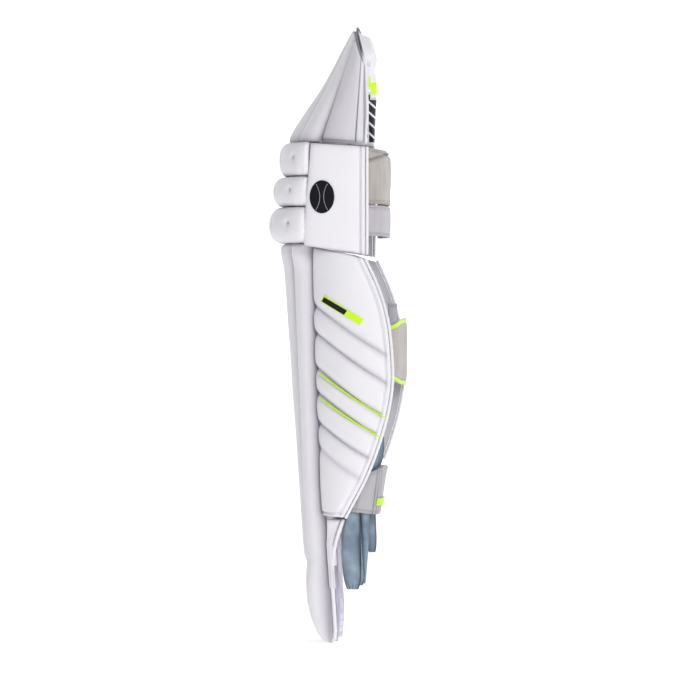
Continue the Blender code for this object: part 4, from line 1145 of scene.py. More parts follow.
def knee_roll(foot, top, front, end, seed):
    """The D: its front is (0.45 + 0.55 cos^0.8 a, sin^0.9 a), and its flanks curve back to the board."""
    middle, half = (foot + top) / 2, (top - foot) / 2 - 0.05
    angle = (end * np.sin(np.linspace(-np.pi / 2, np.pi / 2, 190)))[:, None]
    swell = 0.78 + 0.22 * rounded(np.maximum(0, np.abs(angle) - end + 7) / 7.1, 2.2)
    a = np.linspace(-np.pi / 2, np.pi / 2, 45)
    s = np.linspace(0, 1, 9)[1:]
    nose = 0.45 + 0.55 * np.cos(a).clip(0) ** 0.8, np.sign(np.sin(a)) * np.abs(np.sin(a)) ** 0.9
    flank = 0.45 * (1 - s), 1 - 0.14 * s * s
    radial = np.concatenate([nose[0], flank[0], flank[0][::-1]])[None]
    height = np.concatenate([nose[1], flank[1], -flank[1][::-1]])[None]
    z = middle + half * height * (0.5 + 0.5 * swell)
    rings = roll_point(angle + 0 * z, radial * swell, front, z)
    facing_out = step_up(radial + 0 * z, 0.4, 0.7)
    round_it = np.radians(np.abs(angle)) * 80
    gather = 0.4 * puckers(z, np.radians(end - np.abs(angle)) * 90, seed, 7.0, 6.0)
    pinch = 0.25 * puckers(round_it, (1 - np.abs(height)) * half, seed + 1, 9.0, 4.0)
    ease = 0.4 * ripples(round_it * np.sign(angle), z, seed + 2, 80.0, 30.0)
    push = (gather + pinch + ease) * facing_out
    # Painted shade near the seams at the top and foot, and full shade on the flanks that face the board.
    crease = 0.7 * np.exp(-(1 - np.abs(height)) * half / 1.5) + 0 * z
    crease = np.maximum(crease, 1 - facing_out)
    for tuft in (-57.0, -20.0, 20.0, 57.0):
        spot = roll_point(tuft, 0.97, front, middle + 2.0)
        away = np.linalg.norm(rings - spot, axis=-1)
        star = 1 + 0.12 * np.cos(7 * np.arctan2(z - middle - 2.0, round_it - np.radians(abs(tuft)) * 80))
        push = push - 3.4 * np.exp(-((away * star / 5.0) ** 1.3)) * facing_out
        # Painted shade round each tuft.
        crease = np.maximum(crease, 0.75 * np.exp(-((away / 2.4) ** 2)))
    return pushed(rings, push, np.clip(crease, 0, 1))


tufts = []
for number, (name, (foot, top, front)) in enumerate(ROLLS.items()):
    rings = knee_roll(foot, top, front, ROLL_ENDS[name], 41 + number)
    fit(loft(f"knee_leather_{name}", rings, white), "knee", [f"knee_roll_{name}"])
    for tuft in (-57.0, -20.0, 20.0, 57.0):
        spots = roll_point(tuft + np.linspace(-1.2, 1.2, 4), 0.9, front, (foot + top) / 2 + 2.0)
        away = np.broadcast_to(roll_point(tuft, 1.0, front, 0.0), (4, 3))
        tufts.append(stitch_row(spots, away, 1.1, 1.9, 0.5))
stitches("knee_tufts", tufts, grey_thread, "knee")

# %% [markdown]
# The knee wings cover the ends of the rolls. They are squarer and deeper than the calf wings, with a soft
# round front edge, and a row of stitches holds the piping behind them.

# %% The knee wings
KNEE_TOP, KNEE_FOOT, KNEE_DEPTH = (54.5, 50.0), (-69.6, -81.0), 15.0


def knee_inside(t):
    corners = [np.array(p, float) for p in ((73.6, -7, 0), (79.5, 6, 0), (81.5, 34, 0), (79.5, 52, 0))]
    spot, slope = curve(*corners, np.expand_dims(t, -1))
    return spot, outward(slope)


def knee_depth(t, level):
    """A full panel with a round front edge, flattened to a band in its last 9 mm."""
    from_rear = (1 - t) * 62.0
    band = step_up(from_rear, 3.0, 7.5)
    deep = 3.6 + (KNEE_DEPTH - 3.6) * rounded(2 * t - 1, 4.5) * rounded(2 * level - 1, 9)
    seam = np.exp(-(((from_rear - 5.4) / 1.3) ** 2)) * 0.3
    return 3.6 + (deep - 3.6) * (0.6 + 0.4 * band) * (1 - seam)


nose_reach = smooth((-80, 13.5), (-46, 12), (-6, 8.5), (36, 4.5), (55, 3.5))


def knee_nose(t, z, deep):
    """How far the panel hangs forwards over the ends of the rolls, at its full depth and near its front."""
    return nose_reach(z) * (1 - t) ** 2.2 * (1 - np.exp(-(deep - 3.6) / 3.0))


def knee_outside(t, z, out=0.0):
    spot, side_ = knee_inside(t)
    deep = knee_depth(t, (z - KNEE_FOOT[0]) / (KNEE_TOP[0] - KNEE_FOOT[0]))
    spot = spot + side_ * np.expand_dims(deep + out, -1)
    spot[..., 1] -= knee_nose(t, z, deep)
    return spot


def knee_at(y, z, out=0.0):
    """The outer face at (y, z): t is found by halving, all points at once."""
    y, z = np.broadcast_arrays(y, z)
    low, high = np.full(np.shape(y), 0.06), np.ones(np.shape(y))
    for _ in range(24):
        half = (low + high) / 2
        before = knee_outside(half, z)[..., 1] < y
        low, high = np.where(before, half, low), np.where(before, high, half)
    spot = knee_outside(low, z, out)
    return place(spot[..., 0], spot[..., 1], z)


def knee_panel(seed):
    t = np.sin(np.linspace(0, np.pi / 2, 64))[None] ** 1.2 * 0.999
    k = ((1 - np.cos(np.linspace(0, np.pi, 130))) / 2)[:, None]
    top, foot = (a + (b - a) * t for a, b in (KNEE_TOP, KNEE_FOOT))
    z = top + (foot - top) * k
    spot, side_ = knee_inside(t + 0 * k)
    deep = knee_depth(t + 0 * k, 1 - k + 0 * t)
    ease = 0.5 * ripples(t * 62, z, seed, 80.0, 34.0) * rounded(2 * t - 1, 4) * rounded(2 * k - 1, 6)
    beside = np.minimum(np.minimum(k, 1 - k) * 125, t * 62)
    gather = 0.3 * puckers(z + t * 62, beside, seed + 1, 8.0, 5.0)
    front = spot + side_ * (deep + ease + gather * step_up(beside, 0, 3))[..., None]
    front[..., 1] -= knee_nose(t, z, deep)
    from_rear = (1 - t) * 62.0
    # Painted shade along the stitch line near the rear edge and along the panel's edges.
    crease = 0.5 * np.exp(-(((from_rear - 5.4) / 1.6) ** 2))
    crease = np.clip(crease + 0.6 * np.exp(-beside / 1.8), 0, 1)
    back = spot + side_ * (0.5 * rounded(2 * t - 1, 6) * rounded(2 * k - 1, 6))[..., None]
    front[..., 2], back[..., 2] = z, z
    return with_crease_shade(front, crease), back


KNEE_BEND = ("knee", "knee_wing", (0.074, -0.014, -0.008), (0.079, 0.014, -0.008))
piece = pad("knee_leather_outer", *knee_panel(51), white)
fit(piece, "knee_wing", ["knee_wing_outer"], KNEE_BEND)
faces = [mirrored(face) for face in knee_panel(53)]
fit(pad("knee_leather_inner", *faces, white), "knee", ["knee_wing_inner"])

z = np.linspace(KNEE_TOP[1] - 1, KNEE_FOOT[1] + 1, 90)
rim, rim_side = knee_inside(np.ones(90))
edge = rim + rim_side * 2.0 + np.array([0, 2.6, 0])
edge[:, 2] = z
rings = tube(edge, 1.9 + 0.1 * np.sin(np.arange(90) * 1.9), 12, (1, 0, 0))
fit(loft("knee_piping", rings, white), "knee_wing", ["knee_wing_binding"])
fit(loft("knee_piping_inner", mirrored(rings), white), "knee", [])

rows = []
for distance in (5.4,):
    spot, side_ = knee_inside(np.full(100, 1 - distance / 62.0))
    line = spot + side_ * (knee_depth(np.full(100, 1 - distance / 62.0), 0.5) + 0.05)[:, None]
    line[:, 2] = np.linspace(KNEE_TOP[1] - 3, KNEE_FOOT[1] + 5, 100)
    rows.append(stitch_row(line, side_))
stitches("knee_wing_thread", rows, thread, "knee_wing")
stitches("knee_wing_thread_inner", [mirrored(row) for row in rows], thread, "knee")

# %% [markdown]
# A plain black oval is sewn to the wing as its badge, with two curved seams like those of a ball.

# %% The badge
def badge_face(lift):
    """An oval as a polar grid, 15 by 20 mm, with its rim turned down."""
    turn = np.linspace(0, 2 * np.pi, 72, endpoint=False)[None]
    r = np.sin(np.linspace(0, np.pi / 2, 14))[:, None]
    drop = lift * (1 - rounded(r, 9)) * 0.8
    return knee_at(1 + 15 * r * np.cos(turn), -11 + 20 * r * np.sin(turn), lift - drop + 0 * turn)


top_face, low_face = badge_face(1.3)[1:], badge_face(0.35)[1:]
badge = loft("knee_badge", np.concatenate([top_face, low_face[::-1]]), black)
fit(badge, "knee_wing", ["knee_emblem"], bend=KNEE_BEND)
rows = []
for bend in (-1, 1):
    s = np.linspace(-1, 1, 40)
    line = knee_at(1 + bend * (2.4 + 4.8 * s * s), -11 + 16 * s, 1.35)
    rows.append(stitch_row(line, np.broadcast_to([1.0, 0, 0], line.shape), 2.4, 1.7, 0.42))
stitches("badge_thread", rows, thread, "knee_wing", KNEE_BEND)

# %% [markdown]
# The kneecap rests on a quilted block. Its front follows the board and its back is flat, since that face
# is the one that meets the leg. Shallow lines quilt it into a grid of squares.

# %% The knee cushion
def knee_cushion():
    """Back face at y = 0, with quilting grooves 1.3 mm deep on two lines each way, and a rounded rim."""
    z = np.linspace(44.0, -56.0, 90)[:, None]
    x = np.linspace(-46.0, 46.0, 90)[None]
    x = x * (0.9 + 0.1 * rounded((z + 6) / 50.01, 8))
    front = board_point(np.degrees(np.arcsin(x / 67.0)), z, -5.5)
    lines = sum(np.exp(-((np.abs(z - at) / 2.6) ** 1.3)) for at in (10.0, -22.0))
    lines = lines + sum(np.exp(-((np.abs(x - at) / 2.6) ** 1.3)) for at in (-15.5, 15.5))
    rim = rounded(x / 46.5, 9) * rounded((z + 6) / 50.5, 9)
    y = -1.3 * np.minimum(lines, 1.2) - 5.0 * (1 - rim) + 0.2 * ripples(x, z, 61, 40.0, 16.0) - 0.25
    # Painted shade in the quilting grooves and on the rim.
    crease = np.clip(lines * 0.6 + (1 - rim), 0, 1)
    return with_crease_shade(place(x, np.minimum(y, 0.0), z), crease), front


cushion = pad("knee_lining", *knee_cushion(), lining_cloth)
fit(cushion, "knee", ["knee_cushion"])


# %% [markdown]
# ## The top hat
#
# Above the knee the pad narrows to a crown that leans back over the thigh. Its board is a ruled surface:
# each straight line runs from an arc at the fold to an arc at the crown, and pieces are placed by the
# line's angle, the share of the way up it, and a distance out along the surface's own normal.

# %% The hat's surface
HAT_BOARD, HAT_GAP = 3.0, 1.0


def hat_surface(angle, level):
    """The straight line between two arcs: (86 sin a, 54 - 78 cos a, 55 + 5 cos a) at the fold, and
    (70 sin a, 50 - 12 cos a, 150 + 46 cos a) at the crown."""
    turn = np.radians(angle)
    fold = place(86 * np.sin(turn), 54 - 78 * np.cos(turn), 55 + 5 * np.cos(turn))
    crown = place(70 * np.sin(turn), 50 - 12 * np.cos(turn), 150 + 46 * np.cos(turn))
    return fold + (crown - fold) * np.expand_dims(level, -1)


def hat_point(angle, level, out):
    angle, level, out = np.broadcast_arrays(angle, level, out)
    along = hat_surface(angle + 0.5, level) - hat_surface(angle - 0.5, level)
    up = hat_surface(angle, level + 0.01) - hat_surface(angle, level - 0.01)
    normal = np.cross(along, up)
    normal /= np.linalg.norm(normal, axis=-1, keepdims=True)
    return hat_surface(angle, level) + normal * out[..., None]


# %% [markdown]
# Three tapering bolsters run up the front of the hat and close at the crown. Their bases roll in towards
# the fold. Beside them the hat is a flat panel of greyer leather, edged with a band of the white leather.

# %% Hat bolsters and sides
hat_depth = smooth((0, 24), (0.12, 18), (0.35, 11), (1, 3))


def hat_front(angle, level, out):
    """A bolster's own surface: near the fold it lies straight ahead of the board, further up along the
    normal."""
    spot = hat_point(angle, level, out)
    lift = spot[..., 2] - hat_surface(angle + 0 * spot[..., 2], level + 0 * spot[..., 2])[..., 2]
    spot[..., 2] -= lift * np.maximum(0, 1 - level / 0.25) ** 2
    return spot


def hat_bolster(first, last, seed, share):
    """Depth 24 mm at the fold to 3 mm at the crown, times a rounded hump across and a quarter circle at
    the ends."""
    level = (-0.012 + 0.997 * (0.5 - 0.5 * np.cos(np.linspace(0, np.pi, 130))))[:, None]
    base = 0.72 + 0.28 * np.sqrt(1 - (1 - np.clip((level + 0.018) / 0.06, 0, 1)) ** 2)
    tip = 0.6 + 0.4 * np.sqrt(1 - (1 - np.clip((0.99 - level) / 0.05, 0, 1)) ** 2)
    depth = hat_depth(level) * (share + (1 - share) * step_up(level, 0.1, 0.6)) * base * tip
    middle, half = (first + last) / 2, (last - first) / 2 - 0.5
    w = np.sin(np.radians(np.linspace(-90, 90, 45)))[None]
    reach = half * (86 * (1 - level) + 40 * level) * math.pi / 180
    beside = (1 - np.abs(w)) * reach
    gather = 0.3 * puckers(level * 150 + 0 * w, beside, seed, 8.0)
    ease = 0.3 * ripples(w * reach, level * 150 + 0 * w, seed + 1, 90.0, 34.0)
    out = HAT_GAP + 1.2 + (depth - 1.2) * rounded(w, 2.1) + (gather + ease) * rounded(w, 2)
    front = hat_front(middle + half * w, level, out)
    back = hat_front(middle + half * np.linspace(0.9, -0.9, 7), level, HAT_GAP)
    # Painted shade beside the seams and at the base; the back carries 0.6.
    crease = np.clip(0.9 * np.exp(-beside / 2.0) + 0.5 * np.exp(-level * 150 / 4), 0, 1)
    edge = np.ones(back.shape[:2] + (1,)) * 0.6
    return np.concatenate([with_crease_shade(front, crease), np.concatenate([back, edge], -1)], 1)


def hat_panel(first, last, seed, height, puff):
    """A flat panel between two angles: height + a flat-topped hump of puff, softer towards the crown."""
    level = np.linspace(-0.03, 0.985, 116)[:, None]
    s = np.linspace(-1, 1, 40)[None]
    hump = rounded(s, 4) * rounded(2 * level - 1, 12)
    ease = 0.5 * ripples(s * 26, level * 120 + 0 * s, seed, 80.0, 30.0) * rounded(s, 2) * min(puff / 4, 1)
    out = HAT_GAP + height + puff * hump * (1 - 0.6 * level) + ease
    angle = (first + last) / 2 + (last - first) / 2 * s
    front, back = hat_point(angle, level, out), hat_point(angle, level, HAT_GAP + 0 * s)
    beside = (1 - np.abs(s)) * (last - first) * 0.6
    # Painted shade beside the seams and at the base.
    crease = np.clip(0.7 * np.exp(-beside / 1.6) + 0.5 * np.exp(-level * 120 / 3), 0, 1)
    return with_crease_shade(front, crease), back


centre = loft("hat_leather_centre", hat_bolster(-20, 20, 61, 1.0), white)
fit(centre, "top_hat", ["top_hat_bolster_centre"])
for name, seed, turned in (("outer", 63, np.array), ("inner", 67, mirrored)):
    rings = turned(hat_bolster(20.4, 48.5, seed, 0.8))
    piece = loft(f"hat_leather_{name}", rings, white)
    fit(piece, "top_hat", [f"top_hat_bolster_{name}"])
    faces = [turned(face) for face in hat_panel(49.3, 81.0, seed + 1, 2.6, 4.6)]
    fit(pad(f"hat_side_{name}", *faces, side), "top_hat", [f"top_hat_side_{name}"])
    faces = [turned(face) for face in hat_panel(81.4, 88.0, seed + 2, 2.6, 2.2)]
    fit(pad(f"hat_border_{name}", *faces, white), "top_hat", [])

# %% [markdown]
# The piping runs up one side of the hat, over the crown and down the other. It is white and turns darker
# towards the crown, where the value it carries in the crease-shade attribute rises.

# %% Hat piping
dark_piping = trim("piping darker at the crown", (0.8, 0.79, 0.835), (0.05, 0.05, 0.055), 0.45, 1400.0, 0.12)
level = np.linspace(-0.01, 0.97, 60)
angles = np.linspace(84, 15, 60)
turn = np.radians(angles)
away = place(np.sin(turn), 0.45 + 0.6 * np.sin(turn) ** 4, np.cos(turn))
away /= np.linalg.norm(away, axis=1, keepdims=True)
edge_shift = place(1.5, -0.4 + 3.2 * step_up(level, 0, 0.45), 0 * level)
upright = hat_surface(90.0 + 0 * level, level) + edge_shift
crown = hat_surface(angles, 1.0 + 0 * angles) + away * 2.6
half_line = np.concatenate([upright, crown])
crest = hat_surface(np.zeros(1), np.ones(1)) + np.array([0, 0.41, 0.912]) * 2.6
line = np.concatenate([half_line, crest, mirrored(half_line)[::-1]])
run = np.concatenate([[0], np.cumsum(np.linalg.norm(np.diff(line, axis=0), axis=1))])
even = np.linspace(0, run[-1], 320)
line = np.stack([np.interp(even, run, line[:, k]) for k in range(3)], axis=1)
rings = tube(line, 1.9 - 0.6 * step_up(line[:, 2], 150, 180), 12, (0, 1, 0.02))
# The piping darkens towards the crown, from 150 to 172 mm up.
crown_darkening = (step_up(rings[..., 2], 150, 172) * 0.95)[..., None]
piece = loft("hat_piping", np.concatenate([rings, crown_darkening], -1), dark_piping)
fit(piece, "top_hat", ["top_hat_binding"])

rows = []
for turned in (np.array, mirrored):
    for angle, out in ((79.6, 4.6), (82.6, 4.0)):
        reach = out + HAT_GAP - np.linspace(0, 1.2, 90)
        spots = hat_point(np.full(90, angle), np.linspace(0.05, 0.93, 90), reach)
        rows.append(stitch_row(turned(spots), turned(np.broadcast_to([1.0, 0, 0.1], spots.shape)), 3.4, 2.4))
stitches("hat_thread", rows, thread, "top_hat")

# %% [markdown]
# The hat's lining is one long cushion, and its two ends show behind the piping. A plain pattern is
# printed on them: a yellow-green block, and under it black bars on the slant that thin out towards the
# fold.

# %% The hat cushion
def printed_leather():
    """White leather with masks from the object's own heights: a block from 121 to 136 mm, bars from 61
    to 114."""
    finish = Finish("printed leather", 0.5, Specular_IOR_Level=0.4)
    x, y, z = finish.heights()
    crease = finish.crease()
    drift = finish.noise(26.0, 4.0)
    # Painted shade in the creases, with random tone from noise.
    base = finish.mix((crease + (drift - 0.5) * 0.3).clip(), (0.84, 0.83, 0.87), (0.5, 0.49, 0.55))
    at_side = (x.size() > 0.05) * (y > 0.049) * (x.size() + (z - 0.055) * 0.168 < 0.0812)
    slanted = ((z + y * 0.9) / 0.0128).part()
    bars = (slanted > 0.24) * (z > 0.061) * (z < 0.113) * at_side
    inked = finish.mix(bars, base, (0.014, 0.014, 0.016))
    pale = finish.mix((z > 0.108) * (z < 0.116) * at_side * (1 - bars) * 0.8, inked, (0.5, 0.55, 0.68))
    block = (z > 0.121 + (y - 0.06) * 0.3) * (z < 0.136 + (y - 0.06) * 0.3) * at_side
    pebbles = finish.bump(finish.cells(1500.0, "SMOOTH_F1"), 0.14, 0.0003)
    colour = finish.mix(block, pale, (0.64, 0.93, 0.03))
    return finish.paint(Base_Color=colour, Roughness=0.46 + drift * 0.1, Normal=pebbles)


def hat_lining():
    """An inner face that bulges between grooves, and two rounded ends that stand out behind the hat."""
    level = (0.03 + 0.955 * (0.5 - 0.5 * np.cos(np.linspace(0, np.pi, 90))))[:, None]
    angle = np.concatenate([np.full(12, -90.0), np.linspace(-90, 90, 150), np.full(12, 90.0)])[None]
    share = np.concatenate([np.linspace(1, 0.08, 12), np.zeros(150), np.linspace(0.08, 1, 12)])[None]
    reach = share * smooth((0, 1), (0.35, 4), (0.74, 9), (1, 10.5))(level)
    end = np.sqrt(1 - (share * 0.96) ** 2)
    thick = (12 + 8 * level**2) * (0.55 + 0.45 * rounded((level - 0.5075) / 0.4785, 6))
    grooves = sum(np.exp(-(((np.abs(angle) - at) / 2.4) ** 2)) for at in (24.0, 62.0))
    grooves = grooves * (1 - step_up(level, 0.45, 0.7))
    ease = 0.5 * ripples(angle * 1.2, level * 120, 71, 70.0, 26.0)
    inside = thick * (1 - 0.3 * grooves) * (0.45 + 0.55 * end) + ease - 0.5
    side_out = 4.5 + 1.6 * (1 - end)
    outer = hat_point(angle, level, -side_out) + np.stack([0 * reach, reach, 0 * reach], -1)
    inner = hat_point(angle, level, -4.5 - np.maximum(inside, 2.5))
    inner = inner + np.stack([0 * reach, reach, 0 * reach], -1)
    # Painted shade in the grooves of the inner face.
    crease = np.clip(grooves * 0.7 + 0 * level, 0, 1)[..., None]
    return np.concatenate([outer, 0 * crease], -1), np.concatenate([inner, crease], -1)


cushion = pad("hat_lining", *hat_lining(), printed_leather())
fit(cushion, "top_hat", ["top_hat_cushion"])

# %% [markdown]
# ## The straps
#
# Three straps cross behind the leg, from the inner side to the outer. Seen from above each follows a
# curve, and its cloth stands upright on that curve. A padded strap is two layers of soft leather over
# thin foam, stitched along both edges, with wrinkles where it bends round the leg.

# %% The straps' curves
KNEE_LINE = ((-83, 57), (-74, 68), (-44, 75), (0, 74), (44, 72), (68, 62), (73, 48), (71, 34))
CALF_LINE = ((-79, 94), (-66, 95), (-40, 94), (0, 92), (42, 91), (66, 87), (72, 76), (69, 62))
ANKLE_LINE = ((-70, 53), (-65, 62), (-46, 67), (0, 68), (42, 67.5), (58, 61), (61, 50), (59, 38))


def strap_spot(line, t):
    """The curve at t from 0 to 1, and its outward side."""
    places = np.linspace(0, 1, len(line))
    xs = smooth(*((p, q[0]) for p, q in zip(places, line)))
    ys = smooth(*((p, q[1]) for p, q in zip(places, line)))
    ahead, behind = np.minimum(t + 0.01, 1), np.maximum(t - 0.01, 0)
    run = place(-(ys(ahead) - ys(behind)), xs(ahead) - xs(behind), 0 * t)
    return place(xs(t), ys(t), 0 * t), run / np.linalg.norm(run, axis=-1, keepdims=True)


def strap_band(line, span, foot, top, out, thick, crown, seed, slant=None, fold=None, soft=1.0):
    """Front and back of a band. Its crown is a flat-topped hump, cut by stitching 4 mm in from both edges."""
    out = out(np.linspace(*span, 200)[None]) if callable(out) else out
    k = (0.5 - 0.5 * np.cos(np.linspace(0, np.pi, 60)))[:, None]
    t = np.linspace(*span, 200)[None]
    low, high = (f(t) if callable(f) else f + 0 * t for f in (foot, top))
    z = low + (high - low) * k
    spot, away = strap_spot(line, t + 0 * k)
    along, from_edge = t * 230, np.minimum(k, 1 - k) * (high - low)
    at_end = np.minimum(t - span[0], span[1] - t) * 230
    seam = np.exp(-(((from_edge - 3.6) / 1.1) ** 2))
    bends = soft * ripples(along, z * 0.35, seed, 34.0, 12.0) * rounded(2 * k - 1, 3) * 0.8
    ruck = 0.35 * soft * puckers(along + 0 * k, from_edge, seed + 1, 6.0, 4.0)
    swell = crown * rounded(2 * k - 1, 4) * (1 - 0.55 * seam) * step_up(at_end, -2, 4) + 0 * t
    # Painted shade at the stitching, in the hollows of the bends and at the edges; the back carries 0.2.
    creases = 0.35 * seam + 0.3 * np.clip(-bends, 0, 1) + 0.5 * np.exp(-from_edge / 1.2)
    if fold:
        away_from = z - fold(t)
        swell = swell - 2.6 * np.exp(-((away_from / 2.0) ** 2))
        swell = swell + 0.9 * np.exp(-(((away_from - 4.5) / 3.0) ** 2))
        # Painted shade along the fold.
        creases = creases + 0.8 * np.exp(-((away_from / 1.8) ** 2))
    reach = out + thick + swell + np.where(swell + bends + ruck > -thick + 1.4, bends + ruck, 0)
    shift = np.zeros(z.shape + (3,))
    shift[..., 2] = z
    shift[..., 1] = slant(t) * (z + 366) if slant else 0
    front = spot + away * reach[..., None] + shift
    back = spot + away * (out + 0 * z)[..., None] + shift
    return with_crease_shade(front, np.clip(creases, 0, 1)), with_crease_shade(back, 0.2)


def edge_rows(line, span, level, out, slant=None, pitch=3.4):
    """A row of stitches along a band at a height that may vary along it."""
    t = np.linspace(span[0] + 0.015, span[1] - 0.015, 200)
    spot, away = strap_spot(line, t)
    z = level(t) if callable(level) else level + 0 * t
    shift = place(0 * t, slant(t) * (z + 366) if slant else 0 * t, z)
    return stitch_row(spot + away * out + shift, away, pitch, pitch * 0.72)


# %% [markdown]
# The knee strap is broad and padded, with a fold that rises across it, and a plain webbing strap runs
# under it. The calf strap is the widest, with yellow-green edges and a grey elastic tab. The ankle strap
# leans with the leg, and has upright pleats beside its outer end and a bright pull tab.

# %% The knee strap
band_leather = leather("band leather", (0.5, 0.475, 0.51), (0.25, 0.235, 0.265), 0.52, 0.2, 0.6)
knee_fold_line = smooth((0, 47), (0.42, 49.5), (0.72, 42), (0.86, 37))
span = (0.02, 0.86)
strap_in = lambda t: -3.2 * step_up(t, 0.05, 0.2)
strap_top = smooth((0, 46.5), (0.55, 46.5), (0.78, 49.5), (0.86, 51.5))
crossing = lambda t: knee_fold_line(t) - 6.0
faces = strap_band(KNEE_LINE, span, -19.0, strap_top, strap_in, 3.0, 2.6, 81, fold=crossing)
fit(pad("knee_strap_leather", *faces, cream), "knee_strap", ["knee_strap_pad"])
faces = strap_band(KNEE_LINE, (0.02, 0.9), -58.0, -20.5, strap_in, 3.4, 1.8, 83, soft=0.5)
fit(pad("knee_strap_webbing", *faces, band_leather), "knee_strap", ["knee_strap_band"])
rows = [edge_rows(KNEE_LINE, (0.2, 0.86), -15.6, 1.6)]
rows += [edge_rows(KNEE_LINE, (0.2, 0.9), level, 1.4) for level in (-54.4, -24.2)]
stitches("knee_strap_thread", rows, thread, "knee_strap")

# %% The calf strap
foot = smooth((0, -240), (0.5, -237), (1, -226))
top = smooth((0, -156), (0.5, -160), (1, -172))
inset = lambda t: -4.6 + 0 * t
span = (0.045, 0.86)
faces = strap_band(CALF_LINE, span, lambda t: foot(t) + 0.6, lambda t: top(t) - 0.6, inset, 2.8, 2.6, 85)
fit(pad("calf_strap_leather", *faces, cream), "calf_strap", ["calf_strap_pad"])
faces = strap_band(CALF_LINE, (0.6, 0.8), lambda t: top(t) - 3.0, -139.5, -3.0, 1.8, 0.0, 87, soft=0.3)
fit(pad("calf_strap_elastic", *faces, elastic), "calf_strap", ["calf_strap_tab"])
rim = lambda t: 2.6 + inset(t)
low, high = lambda t: top(t) - 5.5, lambda t: top(t) - 0.1
faces = strap_band(CALF_LINE, (0.05, 0.84), low, high, rim, 2.2, 0.4, 88, soft=0.2)
fit(pad("calf_strap_edge_top", *faces, neon), "calf_strap", [])
low, high = lambda t: foot(t) + 0.1, lambda t: foot(t) + 5.0
faces = strap_band(CALF_LINE, (0.05, 0.84), low, high, rim, 2.2, 0.4, 89, soft=0.2)
fit(pad("calf_strap_edge_foot", *faces, neon), "calf_strap", [])
rows = []
for level in (lambda t: top(t) - 8.5, lambda t: foot(t) + 8.0):
    rows.append(edge_rows(CALF_LINE, (0.2, 0.86), level, 0.9))
stitches("calf_strap_thread", rows, thread, "calf_strap")

# %% The ankle strap
foot = smooth((0, -392), (0.5, -396), (1, -392))
top = smooth((0, -345), (0.4, -337), (1, -348))
slant = smooth((0, 0.56), (0.25, 0.2), (1, 0.2))
drawn_in = smooth((0.05, 0), (0.2, -1.8), (0.72, -1.8), (0.9, 0.4))
span = (0.02, 0.97)
faces = list(strap_band(ANKLE_LINE, span, foot, top, drawn_in, 2.8, 1.6, 91, slant))
t = np.linspace(*span, 200)[None]
for at in (0.56, 0.615, 0.67):
    pleat = np.exp(-(((t - at) * 230 / 2.4) ** 2)) * rounded(np.linspace(-1, 1, 60), 3)[:, None]
    away = strap_spot(ANKLE_LINE, t + 0 * pleat)[1]
    faces[0][..., :3] += away * (0.9 * pleat)[..., None]
    hollow = np.exp(-(((t - at - 0.024) * 230 / 1.5) ** 2)) * rounded(np.linspace(-1, 1, 60), 3)[:, None]
    faces[0][..., :3] -= away * (1.3 * hollow)[..., None]
    # Painted shade in each pleat's hollow.
    faces[0][..., 3] = np.clip(faces[0][..., 3] + 0.9 * hollow, 0, 1)
fit(pad("ankle_strap_leather", *faces, dull), "ankle_strap", ["ankle_strap_pad"])
faces = strap_band(ANKLE_LINE, (0.3, 0.66), -385.0, -376.0, 2.6, 1.3, 0.2, 93, slant, soft=0.2)
fit(pad("ankle_strap_tape", *faces, neon), "ankle_strap", ["ankle_strap_pull"])
rows = []
for level in (lambda t: top(t) - 3.6, lambda t: foot(t) + 3.6):
    rows.append(edge_rows(ANKLE_LINE, span, level, 0.9, slant))
stitches("ankle_strap_thread", rows, thread, "ankle_strap")

# %% [markdown]
# ## The folds
#
# Soft strips of side leather close the two folds of the pad, under the knee and over it. Each belongs to
# the boards on both sides of its fold, and is baked where it stands, on neither body.

# %% Fold strips
def angle_at(x, reach):
    return np.degrees(np.arcsin(x / reach))


def fold_strip(name, rows_front, rows_back, node, bodies, start, end, flat_size):
    """A strip between two edges, a little slack: it bulges back by a sine over its height.

    It is baked where it stands, and its two bodies are only named in the print. start and end are not used."""
    s = np.linspace(0, 1, 24)[:, None, None]
    slack = np.array([0.0, 0.5, 0.0]) * np.sin(s * np.pi)
    faces = [a + (b - a) * s + slack for a, b in (rows_front, rows_back)]
    piece = pad(name, *faces, side)
    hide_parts(node)
    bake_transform(piece)
    print(piece.name, len(piece.data.polygons), "faces, blended between", *bodies)


x = np.linspace(-50, 50, 80)[None, :]
edges = []
for out in (-1.2, -BOARD + 1.2):
    high = board_point(angle_at(x, 72 + out), -65.5, out)
    low = shin_point(angle_at(x, shin_radius(TOP + 0.5) + out), out, TOP + 0.5 + 0 * x)
    edges.append((high, low))
bend_from, bend_to = (0, -0.03, -0.0655), (0, -0.03, -0.0755)
size = (0.112, 0.014)
fold_strip("knee_fold_leather", *edges, "knee_fold_strip", ("knee", "shin"), bend_from, bend_to, size)

x = np.linspace(-34, 34, 60)[None, :]
edges = []
for out in (-0.8, -HAT_BOARD + 0.4):
    high = hat_point(angle_at(x, 86.0), 0 * x, out + 0 * x) - np.array([0, 0, GAP])
    low = board_point(angle_at(x, 72 + out), 55.5, out)
    edges.append((low, high))
bend_from, bend_to = (0, -0.03, 0.0555), (0, -0.03, 0.0595)
size = (0.068, 0.01)
fold_strip("hat_fold_leather", *edges, "top_hat_fold_strip", ("knee", "top_hat"), bend_from, bend_to, size)

# %% [markdown]
# ## What stays as it is
#
# Some solids of the CAD model already have the right shape: boards, canes, foam cores and hook tapes.
# They keep their mesh and only get their finish.

